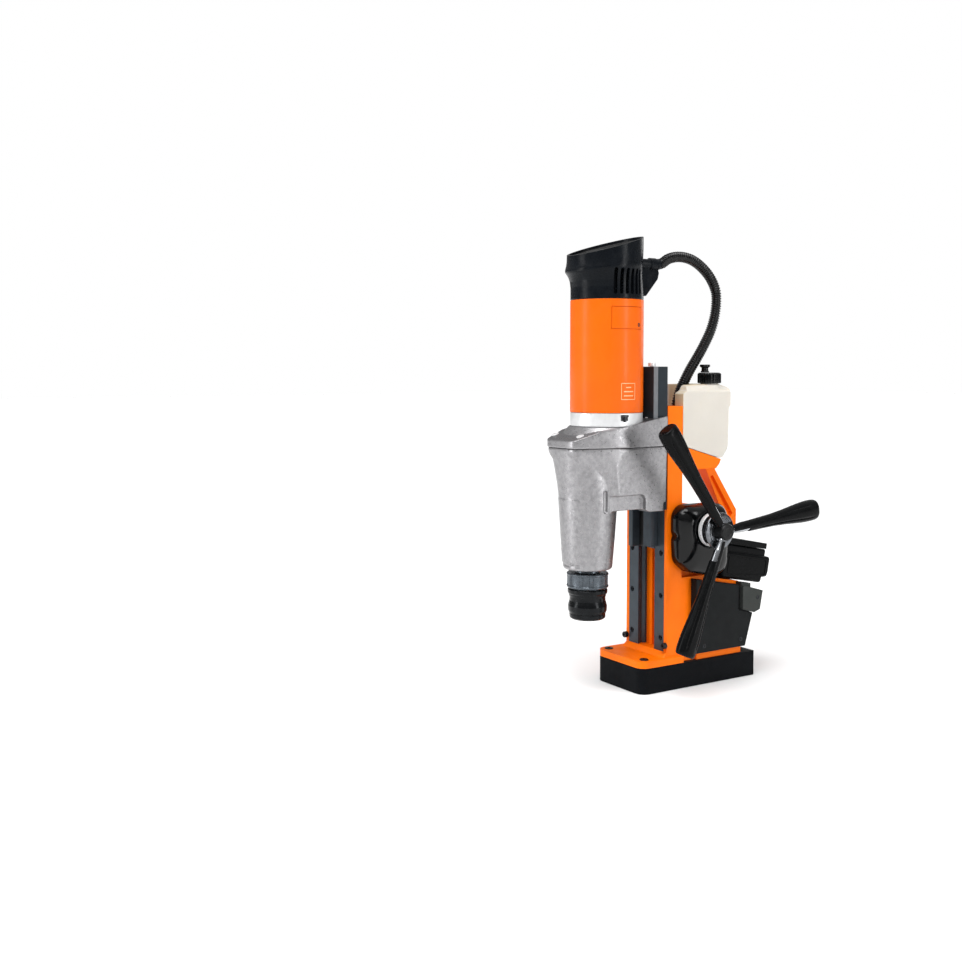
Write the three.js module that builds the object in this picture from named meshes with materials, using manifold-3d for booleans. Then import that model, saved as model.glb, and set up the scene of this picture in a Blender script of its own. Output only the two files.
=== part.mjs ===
// Cordless magnetic core drill press: switchable magnet foot, cast stand, dovetail slide with
// rack and pinion feed, two-stage gearbox, motor, quick-change chuck, coolant tank and battery.
// Millimetres. +Z up, +X the side the feed levers are on, -Y the spindle side.
// Origin: centre of the magnet foot's underside.
import * as THREE from "three";
import { mergeVertices } from "three/addons/utils/BufferGeometryUtils.js";
import Module from "manifold-3d";

const wasm = await Module();
wasm.setup();
const { Manifold, Mesh } = wasm;

// ---------------------------------------------------------------- driving dimensions
const FOOT = { x: 42, y: 87, h: 29.4, corner: 11.7 };
const FLANGE_TOP = 37.5;
const COLUMN = { x: 36, front: -46, back: -24, top: 325 };
const RAIL = { inner: 14.5, outer: 30.8, front: -46, back: -32.9, z0: 43, z1: 320 };
const SPINDLE_Y = -132;
const MOTOR_Y = -106.5;
const MODULE_RACK = 1.5;
const PINION_TEETH = 18;
const PINION_R = (MODULE_RACK * PINION_TEETH) / 2; // 13.5
const FEED = { y: -2.5, z: 184.5 }; // feed shaft axis, along X
const RACK_PITCH_Y = FEED.y - PINION_R;
const LEVER_LEN = 146.7; // hub centre to grip end
const LEVER_X = 83;
const LEVER_ANGLE = 126.4; // first lever, degrees from +Y towards +Z
const GEAR_MODULE = 1.25;
const TEETH = { motor: 10, idlerBig: 24, idlerSmall: 12, spindle: 33 };
const IDLER = { x: 20.357, y: -112.595 };
const TILT = (-10.6 * Math.PI) / 180; // battery slides down towards the rear
const DOCK = { y: 46, z: 161.2 };
const GAP = 0.3;

// ---------------------------------------------------------------- solid helpers
function solid(geometry) {
  const g = geometry.clone();
  g.deleteAttribute("normal");
  g.deleteAttribute("uv");
  const m = mergeVertices(g, 1e-4);
  let s = new Manifold(
    new Mesh({
      numProp: 3,
      vertProperties: Float32Array.from(m.attributes.position.array),
      triVerts: Uint32Array.from(m.index.array),
    }),
  );
  return s;
}
function geometryOf(s) {
  const m = s.getMesh();
  const g = new THREE.BufferGeometry();
  const v = new Float32Array(m.numVert * 3);
  for (let i = 0; i < m.numVert; i++)
    for (let k = 0; k < 3; k++) v[3 * i + k] = m.vertProperties[m.numProp * i + k];
  g.setAttribute("position", new THREE.BufferAttribute(v, 3));
  g.setIndex(new THREE.BufferAttribute(new Uint32Array(m.triVerts), 1));
  return g;
}
const shapeOf = (pts) => new THREE.Shape(pts.map((p) => new THREE.Vector2(p[0], p[1])));
function extrude(pts, h) {
  const g = new THREE.ExtrudeGeometry(shapeOf(pts), { depth: h, bevelEnabled: false, steps: 1 });
  return g;
}
// prism over a polygon of (x, y), from z0 to z1
function prismZ(pts, z0, z1) {
  const g = extrude(pts, z1 - z0);
  g.translate(0, 0, z0);
  return solid(g);
}
// prism over a polygon of (y, z), from x0 to x1
function prismX(pts, x0, x1) {
  const g = extrude(pts, x1 - x0);
  g.applyMatrix4(new THREE.Matrix4().set(0, 0, 1, x0, 1, 0, 0, 0, 0, 1, 0, 0, 0, 0, 0, 1));
  return solid(g);
}
const box = (x0, x1, y0, y1, z0, z1) => {
  const g = new THREE.BoxGeometry(x1 - x0, y1 - y0, z1 - z0);
  g.translate((x0 + x1) / 2, (y0 + y1) / 2, (z0 + z1) / 2);
  return solid(g);
};
// a rectangle's outline with its corners rounded; r = [x-y-, x+y-, x+y+, x-y+]
function roundRect(x0, x1, y0, y1, r, n = 4) {
  const R = Array.isArray(r) ? r : [r, r, r, r];
  const c = [
    [x0 + R[0], y0 + R[0], 180],
    [x1 - R[1], y0 + R[1], 270],
    [x1 - R[2], y1 - R[2], 0],
    [x0 + R[3], y1 - R[3], 90],
  ];
  const out = [];
  c.forEach(([cx, cy, a0], i) => {
    if (R[i] < 0.01) return out.push([cx, cy]);
    for (let k = 0; k <= n; k++) {
      const a = ((a0 + (90 * k) / n) * Math.PI) / 180;
      out.push([cx + R[i] * Math.cos(a), cy + R[i] * Math.sin(a)]);
    }
  });
  return out;
}
// turned piece: profile of (radius, height) points, open ends on the axis or a closed loop
function turn(profile, n = 24) {
  const closed = profile[0][0] > 1e-6 || profile[profile.length - 1][0] > 1e-6;
  const p = closed ? [...profile, profile[0]] : profile;
  const g = new THREE.LatheGeometry(
    p.map(([r, h]) => new THREE.Vector2(Math.max(r, 0), h)),
    n,
  );
  g.rotateX(Math.PI / 2); // the lathe's axis becomes +Z
  g.deleteAttribute("normal");
  g.deleteAttribute("uv");
  const m = mergeVertices(g, 1e-4);
  // drop triangles that collapse on the axis, and turn the faces outwards
  const ix = [];
  const a = m.index.array;
  for (let i = 0; i < a.length; i += 3)
    if (a[i] !== a[i + 1] && a[i + 1] !== a[i + 2] && a[i] !== a[i + 2]) ix.push(a[i], a[i + 1], a[i + 2]);
  const make = (idx) =>
    new Manifold(
      new Mesh({
        numProp: 3,
        vertProperties: Float32Array.from(m.attributes.position.array),
        triVerts: Uint32Array.from(idx),
      }),
    );
  let s = make(ix);
  if (s.volume() < 0) {
    const flip = [];
    for (let i = 0; i < ix.length; i += 3) flip.push(ix[i], ix[i + 2], ix[i + 1]);
    s = make(flip);
  }
  return s;
}
const tube = (ro, ri, z0, z1, n = 24) =>
  turn(
    [
      [ri, z0],
      [ro, z0],
      [ro, z1],
      [ri, z1],
    ],
    n,
  );
const rod = (r, z0, z1, n = 24, c = 0) =>
  turn(
    c
      ? [
          [0, z0],
          [r - c, z0],
          [r, z0 + c],
          [r, z1 - c],
          [r - c, z1],
          [0, z1],
        ]
      : [
          [0, z0],
          [r, z0],
          [r, z1],
          [0, z1],
        ],
    n,
  );
const alongX = (s) => s.rotate([0, 90, 0]); // +Z to +X
const alongY = (s) => s.rotate([-90, 0, 0]); // +Z to +Y
// skin over a stack of sections with equal point counts (counter-clockwise seen from the last)
function loft(sections) {
  const n = sections[0].length;
  const v = [];
  sections.forEach((s) => s.forEach((p) => v.push(...p)));
  const t = [];
  for (let k = 0; k < sections.length - 1; k++)
    for (let i = 0; i < n; i++) {
      const a = k * n + i,
        b = k * n + ((i + 1) % n),
        c = a + n,
        d = b + n;
      t.push(a, b, d, a, d, c);
    }
  for (const [k, flip] of [
    [0, true],
    [sections.length - 1, false],
  ]) {
    const c = v.length / 3;
    const m = [0, 1, 2].map((j) => sections[k].reduce((s, p) => s + p[j], 0) / n);
    v.push(...m);
    for (let i = 0; i < n; i++) {
      const a = k * n + i,
        b = k * n + ((i + 1) % n);
      flip ? t.push(c, b, a) : t.push(c, a, b);
    }
  }
  const make = (tt) =>
    new Manifold(new Mesh({ numProp: 3, vertProperties: Float32Array.from(v), triVerts: Uint32Array.from(tt) }));
  let s = make(t);
  if (s.volume() < 0) {
    const f = [];
    for (let i = 0; i < t.length; i += 3) f.push(t[i], t[i + 2], t[i + 1]);
    s = make(f);
  }
  return s;
}
const add = (...s) => s.reduce((a, b) => a.add(b));
const cut = (a, ...s) => s.reduce((x, b) => x.subtract(b), a);
// the half of s on the side n of the plane through p
function half(s, p, n) {
  const N = new THREE.Vector3(...n).normalize();
  const q = new THREE.Quaternion().setFromUnitVectors(new THREE.Vector3(0, 0, 1), N);
  const g = new THREE.BoxGeometry(3000, 3000, 3000);
  g.translate(0, 0, 1500);
  g.applyQuaternion(q);
  g.translate(...p);
  return s.intersect(solid(g));
}

// spur gear outline with straight-sided teeth and running backlash
function gearOutline(module, z, phase) {
  const r = (module * z) / 2;
  const ra = r + 0.9 * module,
    rf = r - 1.2 * module;
  const pitch = (2 * Math.PI) / z;
  const pts = [];
  for (let i = 0; i < z; i++) {
    const c = phase + i * pitch;
    for (const [rr, w] of [
      [rf, -0.34],
      [ra, -0.13],
      [ra, 0.13],
      [rf, 0.34],
    ])
      pts.push([rr * Math.cos(c + w * pitch), rr * Math.sin(c + w * pitch)]);
  }
  return pts;
}
const gear = (module, z, phase, z0, z1) => prismZ(gearOutline(module, z, phase), z0, z1);

// ---------------------------------------------------------------- finishes
const finish = {
  orange: [0xf5690f, 0.4, 0.0],
  black: [0x15171a, 0.5, 0.0],
  graphite: [0x303234, 0.55, 0.0],
  foot: [0x1b1e22, 0.55, 0.3],
  rail: [0x50565c, 0.4, 0.8],
  alu: [0xa9aaac, 0.55, 0.9],
  bright: [0xd2d4d6, 0.3, 1.0],
  steel: [0x6a6e72, 0.35, 1.0],
  dark: [0x1d1f22, 0.35, 0.7],
  chrome: [0xc8ccd0, 0.12, 1.0],
  tank: [0xeae5da, 0.45, 0.0],
  copper: [0xb46a3c, 0.4, 0.9],
  board: [0x1d5a36, 0.5, 0.0],
  green: [0x2f8f4a, 0.45, 0.0],
  red: [0xb8201c, 0.45, 0.0],
};
const object = new THREE.Group();
function put(name, s, look) {
  const [c, r, m] = finish[look];
  const mesh = new THREE.Mesh(
    geometryOf(s),
    new THREE.MeshStandardMaterial({ color: c, roughness: r, metalness: m, flatShading: true }),
  );
  mesh.name = name;
  object.add(mesh);
}

// ================================================================ magnet foot
const footOutline = roundRect(-FOOT.x, FOOT.x, -FOOT.y, FOOT.y, [FOOT.corner, FOOT.corner, 0, 0], 5);
put(
  "magnet_foot",
  cut(prismZ(footOutline, 0, FOOT.h), box(-31, 31, -72, 72, 9, 40)),
  "foot",
);
put(
  "magnet_core",
  add(box(-30.5, 30.5, -71.5, 71.5, 9.3, 15), box(-12, 12, -56, 56, 14.5, 28.9)),
  "steel",
);

// ================================================================ cast stand
const flange = add(
  prismZ(roundRect(-FOOT.x, FOOT.x, -FOOT.y, -25, [FOOT.corner, FOOT.corner, 0, 0], 5), FOOT.h + GAP, FLANGE_TOP),
  box(-COLUMN.x, COLUMN.x, -25.5, 0, FOOT.h + GAP, FLANGE_TOP),
  box(-39.3, 39.3, -3, 67, FOOT.h + GAP, FLANGE_TOP),
);
// foot of the column, sloping out over the flange
const skirt = loft([
  roundRect(-37.5, 37.5, -54, -20, [4, 4, 0, 0], 3).map(([x, y]) => [x, y, FLANGE_TOP - 1]),
  roundRect(-36, 36, -46, -20, [1, 1, 0, 0], 3).map(([x, y]) => [x, y, FLANGE_TOP + 5]),
]);
const column = add(
  box(-COLUMN.x, COLUMN.x, COLUMN.front, COLUMN.back, FLANGE_TOP - 1, COLUMN.top),
  prismZ(
    [
      [-18, -34],
      [18, -34],
      [18, -9],
      [11, -2],
      [-11, -2],
      [-18, -9],
    ],
    FLANGE_TOP - 1,
    321.7,
  ),
);
const lowerBody = prismX(
  [
    [-24.5, FLANGE_TOP - 1],
    [66, FLANGE_TOP - 1],
    [66, 114.8],
    [30.5, 121.2],
    [28.5, 127],
    [-24.5, 127],
  ],
  -35.6,
  35.6,
);
const pinionBlock = prismX(
  [
    [-26, 126],
    [26, 126],
    [30, 150],
    [30, 196],
    [22, 206],
    [-26, 206],
  ],
  -26,
  26,
);
let stand = add(flange, skirt, column, lowerBody, pinionBlock);
stand = cut(
  stand,
  box(-31.1, 31.1, -60, RAIL.back + GAP, RAIL.z0 - GAP, 330), // rail seat
  box(-5.3, 5.3, -40, -12, RAIL.z0 - GAP, 330), // slot the rack runs in
  alongX(rod(16.2, -6, 6, 20)).translate([0, FEED.y, FEED.z]), // pinion chamber
  box(-5.3, 5.3, -20, FEED.y, 160, 212),
  alongX(rod(8.35, -60, 60, 20)).translate([0, FEED.y, FEED.z]), // shaft bearing bore
  box(-29, 29, -8, 60, 44, 104), // electronics bay
  box(25, 40, -4, 52, 50, 98), // cable window to the control housing
  rod(3.4, 30, 60, 12).translate([32, -75.5, 0]),
  rod(3.4, 30, 60, 12).translate([-32, -75.5, 0]),
  rod(5.4, 33.2, 60, 12).translate([32, -75.5, 0]),
  rod(5.4, 33.2, 60, 12).translate([-32, -75.5, 0]),
);
put("stand_column", stand, "orange");

// rails with a V groove on the inner side
const SCREW_Z = [57.8, 106.8, 156];
for (const [side, sx] of [
  ["left", -1],
  ["right", 1],
]) {
  const p = [
    [RAIL.inner, RAIL.front],
    [RAIL.outer, RAIL.front],
    [RAIL.outer, RAIL.back],
    [RAIL.inner, RAIL.back],
    [RAIL.inner, -35.4],
    [17.2, -38.2],
    [17.2, -40.2],
    [RAIL.inner, -43],
  ].map(([x, y]) => [sx * x, y]);
  let rail = prismZ(sx > 0 ? p : p.reverse(), RAIL.z0, RAIL.z1);
  for (const z of SCREW_Z)
    rail = cut(
      rail,
      alongY(rod(3.3, -47, -40.5, 12)).translate([sx * 25.4, 0, z]),
      alongY(rod(1.9, -47, -30, 10)).translate([sx * 25.4, 0, z]),
    );
  put("guide_rail_" + side, rail, "rail");
  SCREW_Z.forEach((z, i) => {
    const s = cut(
      add(alongY(rod(3.0, -44.4, -40.8, 12)), alongY(rod(1.6, -41, -33.1, 8))),
      alongY(rod(1.4, -45, -42.6, 6)),
    );
    put("rail_screw_" + side + "_" + (i + 1), s.translate([sx * 25.4, 0, z]), "dark");
  });
  const stop = cut(
    add(alongY(rod(3.6, -51, -46.3, 12, 0.4)), alongY(rod(0.9, -46.5, -46.2, 8))),
    alongY(rod(1.7, -52, -48.6, 6)),
  );
  put("stop_screw_" + side, stop.translate([sx * 34.6, 0, 50.5]), "dark");
  const foot = cut(add(rod(5.0, 33.5, 38.6, 12, 0.4), rod(3, 30, 33.7, 10)), rod(2.3, 36, 40, 6));
  put("foot_screw_" + side, foot.translate([sx * 32, -75.5, 0]), "dark");
}

// ================================================================ feed housing, ring
const drum = [
  [-41.8, 197.64],
  [-39.81, 205.07],
  [-34.37, 210.51],
  [-26.94, 212.5],
  [16.96, 212.5],
  [22.64, 211.33],
  [27.4, 208.0],
  [30.45, 203.07],
  [33.77, 194.0],
  [34.17, 192.65],
  [34.42, 191.27],
  [34.5, 189.87],
  [34.5, 142.15],
  [32.9, 135.9],
  [28.5, 131.19],
  [22.38, 129.18],
  [10.78, 128.39],
  [8.94, 128.35],
  [7.09, 128.48],
  [5.27, 128.78],
  [-20.59, 134.27],
  [-22.77, 134.93],
  [-24.82, 135.93],
  [-26.67, 137.24],
  [-34.09, 143.46],
  [-37.05, 146.74],
  [-39.0, 150.71],
  [-39.79, 155.06],
  [-40.57, 173.71],
  [-40.54, 174.22],
  [-40.4, 174.71],
  [-40.17, 175.17],
  [-39.51, 176.2],
  [-39.27, 176.88],
  [-39.35, 177.6],
  [-39.74, 178.21],
  [-41.04, 179.46],
  [-41.45, 179.99],
  [-41.71, 180.6],
  [-41.8, 181.26],
].reverse();
const inset = (pts, cy, cz, k) => pts.map(([y, z]) => [cy + (y - cy) * k, cz + (z - cz) * k]);
const drumShell = cut(
  loft([
    drum.map(([y, z]) => [36.3, y, z]),
    drum.map(([y, z]) => [57, y, z]),
    inset(drum, -3, 172, 0.93).map(([y, z]) => [60, y, z]),
  ]),
  loft([
    inset(drum, -3, 172, 0.9).map(([y, z]) => [30, y, z]),
    inset(drum, -3, 172, 0.9).map(([y, z]) => [55.5, y, z]),
  ]),
  alongX(rod(12.5, 50, 70, 20)).translate([0, FEED.y, FEED.z]),
);
put("feed_housing", drumShell, "black");
put(
  "feed_ring",
  alongX(
    turn(
      [
        [12.8, 60.3],
        [18.6, 60.3],
        [19.3, 61],
        [19.3, 65.2],
        [18.6, 65.9],
        [12.8, 65.9],
      ],
      32,
    ),
  ).translate([0, FEED.y, FEED.z]),
  "bright",
);
// left side cap over the shaft's other end
put(
  "side_cap",
  alongX(rod(19, -33, -26.3, 24, 1.5)).translate([0, FEED.y, FEED.z]),
  "black",
);

// ================================================================ control housing (right)
const ctl = [
  [-9.8, 38.2],
  [68.5, 38.2],
  [80.3, 77],
  [61.3, 82.6],
  [57.5, 82.6],
  [57.5, 112.6],
  [-9.8, 125.3],
];
put(
  "control_housing",
  cut(
    prismX(ctl, 36, 46),
    prismX(
      [
        [-6.8, 41.2],
        [66, 41.2],
        [76, 75],
        [54.5, 79],
        [54.5, 110],
        [-6.8, 121.6],
      ],
      30,
      43.2,
    ),
  ),
  "graphite",
);
put(
  "control_cover",
  add(
    prismX(
      [
        [61.5, 83],
        [80, 77.5],
        [89.5, 80.5],
        [94, 102.6],
        [64.5, 111.2],
        [61.5, 110],
      ],
      36,
      48.5,
    ),
    box(36, 40, 57.8, 62, 83, 108),
    prismX(
      [
        [62, 108],
        [77, 105],
        [77, 112.4],
        [62, 115.2],
      ],
      36,
      45,
    ),
  ),
  "graphite",
);
put("control_board", cut(box(37.4, 39, -2, 50, 48, 104), alongX(rod(1.5, 30, 45, 8)).translate([0, 44, 100])), "board");

// ================================================================ control panel (left)
put(
  "control_panel",
  cut(
    prismX(
      [
        [-4, 52],
        [54, 52],
        [54, 104],
        [-4, 112],
      ],
      -39.6,
      -35.9,
    ),
    box(-42, -33, 4.4, 19.6, 82.4, 97.6),
    box(-42, -33, 26.4, 41.6, 82.4, 97.6),
    box(-42, -33, 4.4, 41.6, 60.4, 73.6),
  ),
  "graphite",
);
const buttonShape = (y0, y1, z0, z1) =>
  box(-41.2, -37.7, y0, y1, z0, z1);
put("magnet_button", buttonShape(4.8, 19.2, 82.8, 97.2), "graphite");
put("start_button", buttonShape(26.8, 41.2, 82.8, 97.2), "green");
put("stop_button", buttonShape(4.8, 41.2, 60.8, 73.2), "red");

// ================================================================ coolant tank
const spineGap = prismZ(
  [
    [-18.4, -60],
    [18.4, -60],
    [18.4, -8.8],
    [11.2, -1.6],
    [-11.2, -1.6],
    [-18.4, -8.8],
  ],
  230,
  330,
);
const holderIn = [
  [-19.5, 254.2],
  [27, 254.2],
  [31.6, 259],
  [34, 270],
  [34, 290],
  [-19.5, 290],
];
put(
  "tank_holder",
  cut(
    prismX(
      [
        [-23.7, 251],
        [28.7, 251],
        [34, 256.5],
        [36.4, 261.8],
        [-23.7, 279],
      ],
      -36,
      36,
    ),
    prismX(holderIn, -32.6, 32.6),
    spineGap,
  ),
  "orange",
);
// section across the tank, its top edges sloping down to the sides
const crown = (d) => {
  const g = prismZ(
    [
      [-36 + d, 200],
      [36 - d, 200],
      [36 - d, 341 - 0.5 * d],
      [34 - d, 344.4 - d],
      [29 - d, 347.6 - d],
      [22, 350.2 - d],
      [-22, 350.2 - d],
      [-29 + d, 347.6 - d],
      [-34 + d, 344.4 - d],
      [-36 + d, 341 - 0.5 * d],
    ],
    -60,
    60,
  );
  return g.rotate([90, 0, 0]); // +Y to +Z, +Z to -Y
};
const tankOuter = add(
  prismX(
    [
      [-23.4, 279.4],
      [37.2, 262.2],
      [46.6, 275.5],
      [47.6, 322],
      [50.3, 324],
      [50.3, 344],
      [47.6, 346.3],
      [40, 347],
      [36.5, 350],
      [-13, 349],
      [-17.5, 342],
      [-20.5, 340.6],
      [-23.4, 339.5],
    ],
    -36,
    36,
  ).intersect(crown(0)),
  prismX(
    [
      [-19, 254.8],
      [26.6, 254.8],
      [30.9, 259.5],
      [33.2, 270],
      [36, 300],
      [-19, 300],
    ],
    -32,
    32,
  ),
  rod(10.4, 345, 357.5, 20).translate([21, 30, 0]),
);
const channel = add(
  prismZ(
    [
      [-18.9, -60],
      [21.5, -60],
      [21.5, -1],
      [19, 1.5],
      [-16.5, 1.5],
      [-18.9, -1],
    ],
    240,
    400,
  ),
  box(-0.5, 19.2, 0, 11.5, 318, 400),
);
const tankCavity = cut(
  add(
    prismX(
      [
        [-20.4, 283],
        [36, 266],
        [43.5, 276.5],
        [44.5, 323.5],
        [47.2, 325.5],
        [47.2, 342],
        [46, 343.3],
        [39, 344],
        [35.5, 346.8],
        [-12, 345.9],
        [-16, 339.2],
        [-20.4, 336.8],
      ],
      -33,
      33,
    ).intersect(crown(3)),
    prismX(
      [
        [-16, 257.8],
        [25, 257.8],
        [28, 261],
        [31, 275],
        [31, 290],
        [-16, 290],
      ],
      -29,
      29,
    ),
    rod(7.9, 340, 360, 20).translate([21, 30, 0]),
  ),
  box(-22, 24.6, -70, 4.6, 200, 400),
  box(-3.6, 22.3, 0, 14.6, 314.8, 346.9),
);
put("coolant_tank", cut(tankOuter, channel, tankCavity), "tank");
put(
  "tank_cap",
  cut(
    turn(
      [
        [0, 350.4],
        [13.3, 350.4],
        [13.8, 351],
        [13.8, 361.8],
        [12.6, 363.2],
        [0, 363.2],
      ],
      28,
    ),
    rod(10.8, 349, 358.2, 20),
    rod(2, 350, 370, 12).translate([0, -7, 0]),
  ).translate([21, 30, 0]),
  "black",
);
put(
  "tank_nozzle",
  turn(
    [
      [0, 363.5],
      [4.3, 363.5],
      [4.3, 368.6],
      [6.2, 370.2],
      [6.2, 371.6],
      [5.4, 372.6],
      [0, 372.6],
    ],
    18,
  ).translate([21, 23, 0]),
  "black",
);

// ================================================================ carry handle
put(
  "carry_handle",
  cut(
    prismX(
      [
        [31.5, 250.7],
        [46, 250.7],
        [47.6, 247],
        [82.5, 197],
        [82, 172],
        [66, 172],
        [62, 190],
      ],
      -14,
      14,
    ),
    prismX(
      [
        [43.5, 241],
        [76.5, 193],
        [72, 188],
        [39.5, 239],
      ],
      9,
      20,
    ),
    prismX(
      [
        [43.5, 241],
        [76.5, 193],
        [72, 188],
        [39.5, 239],
      ],
      -20,
      -9,
    ),
  ),
  "orange",
);

// ================================================================ battery dock and battery
const tiltX = (TILT * 180) / Math.PI;
const inDock = (s) => s.rotate([tiltX, 0, 0]).translate([0, DOCK.y, DOCK.z]);
put(
  "battery_dock",
  cut(
    add(
      inDock(box(-33, 33, -8, 70, 0, 7)),
      inDock(box(-31, 31, -7.6, -0.4, -40, 3)),
      inDock(box(-12, 12, -0.8, 12, -9.5, 0.4)),
      prismX(
        [
          [30.4, 140],
          [35, 140],
          [37, 150],
          [40, 161],
          [44, 168],
          [38, 172],
          [30.4, 170],
        ],
        -25,
        25,
      ),
    ),
    box(-14.3, 14.3, 61, 90, 171.7, 200),
    prismX(
      [
        [61, 165],
        [83, 161],
        [83, 200],
        [61, 200],
      ],
      -14.4,
      14.4,
    ),
  ),
  "black",
);
put(
  "battery_pack",
  cut(
    inDock(
      prismX(
        [
          [0, -0.4],
          [75.5, -0.4],
          [76.8, -3],
          [76.8, -26],
          [75.2, -33],
          [67, -34.5],
          [66, -40.4],
          [62, -41.2],
          [2, -41.2],
          [0, -39],
        ],
        -36,
        36,
      ),
    ),
    inDock(box(-12.5, 12.5, -2, 80, -10, 2)),
    inDock(box(-8.4, 8.4, 70, 80, -26.4, -13.6)),
  ),
  "black",
);
put("battery_latch", inDock(box(-8, 8, 72.6, 78.8, -26, -14)), "graphite");

// ================================================================ carriage, rack, motor slide
const carriage = add(
  prismZ(
    [
      [-19.5, -57],
      [-12.4, -57],
      [-12.4, -46.3],
      [6.8, -46.3],
      [6.8, -57],
      [19.5, -57],
      [19.5, -46.3],
      [14.1, -46.3],
      [14.1, -42.8],
      [16.7, -40.1],
      [16.7, -38.3],
      [14.1, -35.6],
      [14.1, -33.4],
      [-14.1, -33.4],
      [-14.1, -35.6],
      [-16.7, -38.3],
      [-16.7, -40.1],
      [-14.1, -42.8],
      [-14.1, -46.3],
      [-19.5, -46.3],
    ],
    160,
    366,
  ),
);
put(
  "carriage",
  cut(
    carriage,
    box(6, 21, -60, -46.3, 150, 163.5),
    box(-4.9, 4.9, -36.6, -30, 150, 320.6),
  ),
  "dark",
);
// rack teeth face the pinion (+Y); a gap of the rack sits level with the pinion's axis
{
  const p = Math.PI * MODULE_RACK;
  const pts = [];
  const z0 = 165,
    z1 = 300;
  const yr = RACK_PITCH_Y - 1.25 * MODULE_RACK,
    ya = RACK_PITCH_Y + 0.85 * MODULE_RACK;
  pts.push([-36.2, z0], [yr, z0]);
  const k0 = Math.ceil((z0 - FEED.z) / p - 0.5) + 1;
  const k1 = Math.floor((z1 - FEED.z) / p - 0.5) - 1;
  for (let k = k0; k <= k1; k++) {
    const c = FEED.z + (k + 0.5) * p;
    pts.push([yr, c - 0.33 * p], [ya, c - 0.14 * p], [ya, c + 0.14 * p], [yr, c + 0.33 * p]);
  }
  pts.push([yr, z1], [-36.2, z1]);
  put("gear_rack", prismX(pts, -4.5, 4.5), "steel");
}
put(
  "motor_slide",
  cut(
    prismZ(
      [
        [-36, -61.8],
        [-33, -64.8],
        [33, -64.8],
        [36, -61.8],
        [36, -46.9],
        [19.9, -46.9],
        [19.9, -57.4],
        [-19.9, -57.4],
        [-19.9, -46.9],
        [-36, -46.9],
      ],
      207,
      370,
    ),
    rod(2.2, 350, 380, 10).translate([23, -59.5, 0]),
  ),
  "graphite",
);
put(
  "slide_clamp_screw",
  cut(add(rod(4.2, 370.3, 374.3, 14, 0.4), rod(1.9, 352, 370.5, 10)), rod(2, 372, 376, 6)).translate([23, -59.5, 0]),
  "bright",
);

// ================================================================ gearbox
// plan outline of the gearbox at its joint, widest round the motor
const half0 = [
  [0, -172],
  [19, -171.5],
  [25.5, -168.5],
  [29.5, -160],
  [33.5, -147],
  [37.5, -133],
  [40.6, -119],
  [41.8, -106],
  [41.2, -90],
  [40.4, -75],
  [40, -62],
  [40, -50.3],
];
const mirrorOutline = (h) => [...h, ...h.slice(1).reverse().map(([x, y]) => [-x, y])];
const joint = mirrorOutline(half0);
const capOutline = (grow) =>
  joint.map(([x, y]) => {
    const cx = 0,
      cy = -110;
    const d = Math.hypot(x - cx, y - cy) || 1;
    return [x + (grow * (x - cx)) / d, Math.min(y + (grow * (y - cy)) / d, -50.3)];
  });
let cover = prismZ(capOutline(1.2), 280.15, 330);
cover = half(cover, [0, -170.5, 289.1], [0, 0.33, -1]);
cover = half(cover, [0, -145, 298], [0, 0.172, -1]);
// round shoulder that the motor's neck ring stands on
cover = cover.add(
  turn([[0, 282], [52, 282], [49.5, 295], [43.6, 301.6], [42.4, 303.2], [0, 303.2]], 48)
    .translate([0, MOTOR_Y, 0])
    .intersect(prismZ(capOutline(0.7), 280.15, 330)),
);
cover = cut(
  cover,
  rod(41.6, 303.2, 340, 40).translate([0, MOTOR_Y, 0]),
  rod(12, 270, 340, 20).translate([0, MOTOR_Y, 0]),
  box(-36.3, 36.3, -65.1, -40, 270, 340),
  rod(24, 270, 288, 28).translate([0, SPINDLE_Y, 0]).intersect(box(-60, 60, -170, -60, 270, 284.5)),
  rod(18, 270, 284.5, 24).translate([IDLER.x, IDLER.y, 0]).intersect(box(-60, 38, -170, -60, 270, 284.5)),
);
put("gearbox_cover", cover, "alu");

const ringPts = (cx, cy, r, n, sx = 1, sy = 1) =>
  Array.from({ length: n }, (_, i) => {
    const a = -Math.PI / 2 + (2 * Math.PI * i) / n;
    return [cx + r * sx * Math.cos(a), cy + r * sy * Math.sin(a)];
  });
// spindle nose, round at the bottom and spreading to the joint outline at the top
const N = 28;
const noseSections = [
  [142.9, 26, 26, 26, 0],
  [144.4, 27.6, 27.6, 27.6, 0],
  [175, 30.2, 30.2, 30.2, 0],
  [209, 32.4, 32.4, 32.4, 0],
  [229, 32.8, 33.4, 32.8, 0.08],
  [244, 33, 35.2, 32.8, 0.26],
  [256, 32.2, 37, 31.6, 0.5],
  [267, 31, 38.8, 30.5, 0.78],
  [279.7, 28.5, 40.5, 29, 1],
].map(([z, rx, front, rear, sq]) =>
  ringPts(0, 0, 1, N).map(([c, s]) => {
    const e = 1 - 0.38 * sq; // towards a squarer section higher up
    const x = rx * Math.sign(c) * Math.pow(Math.abs(c), e);
    const y = (s < 0 ? front : rear) * Math.sign(s) * Math.pow(Math.abs(s), e);
    return [x, SPINDLE_Y + y, z];
  }),
);
const nose = loft(noseSections);
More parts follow.
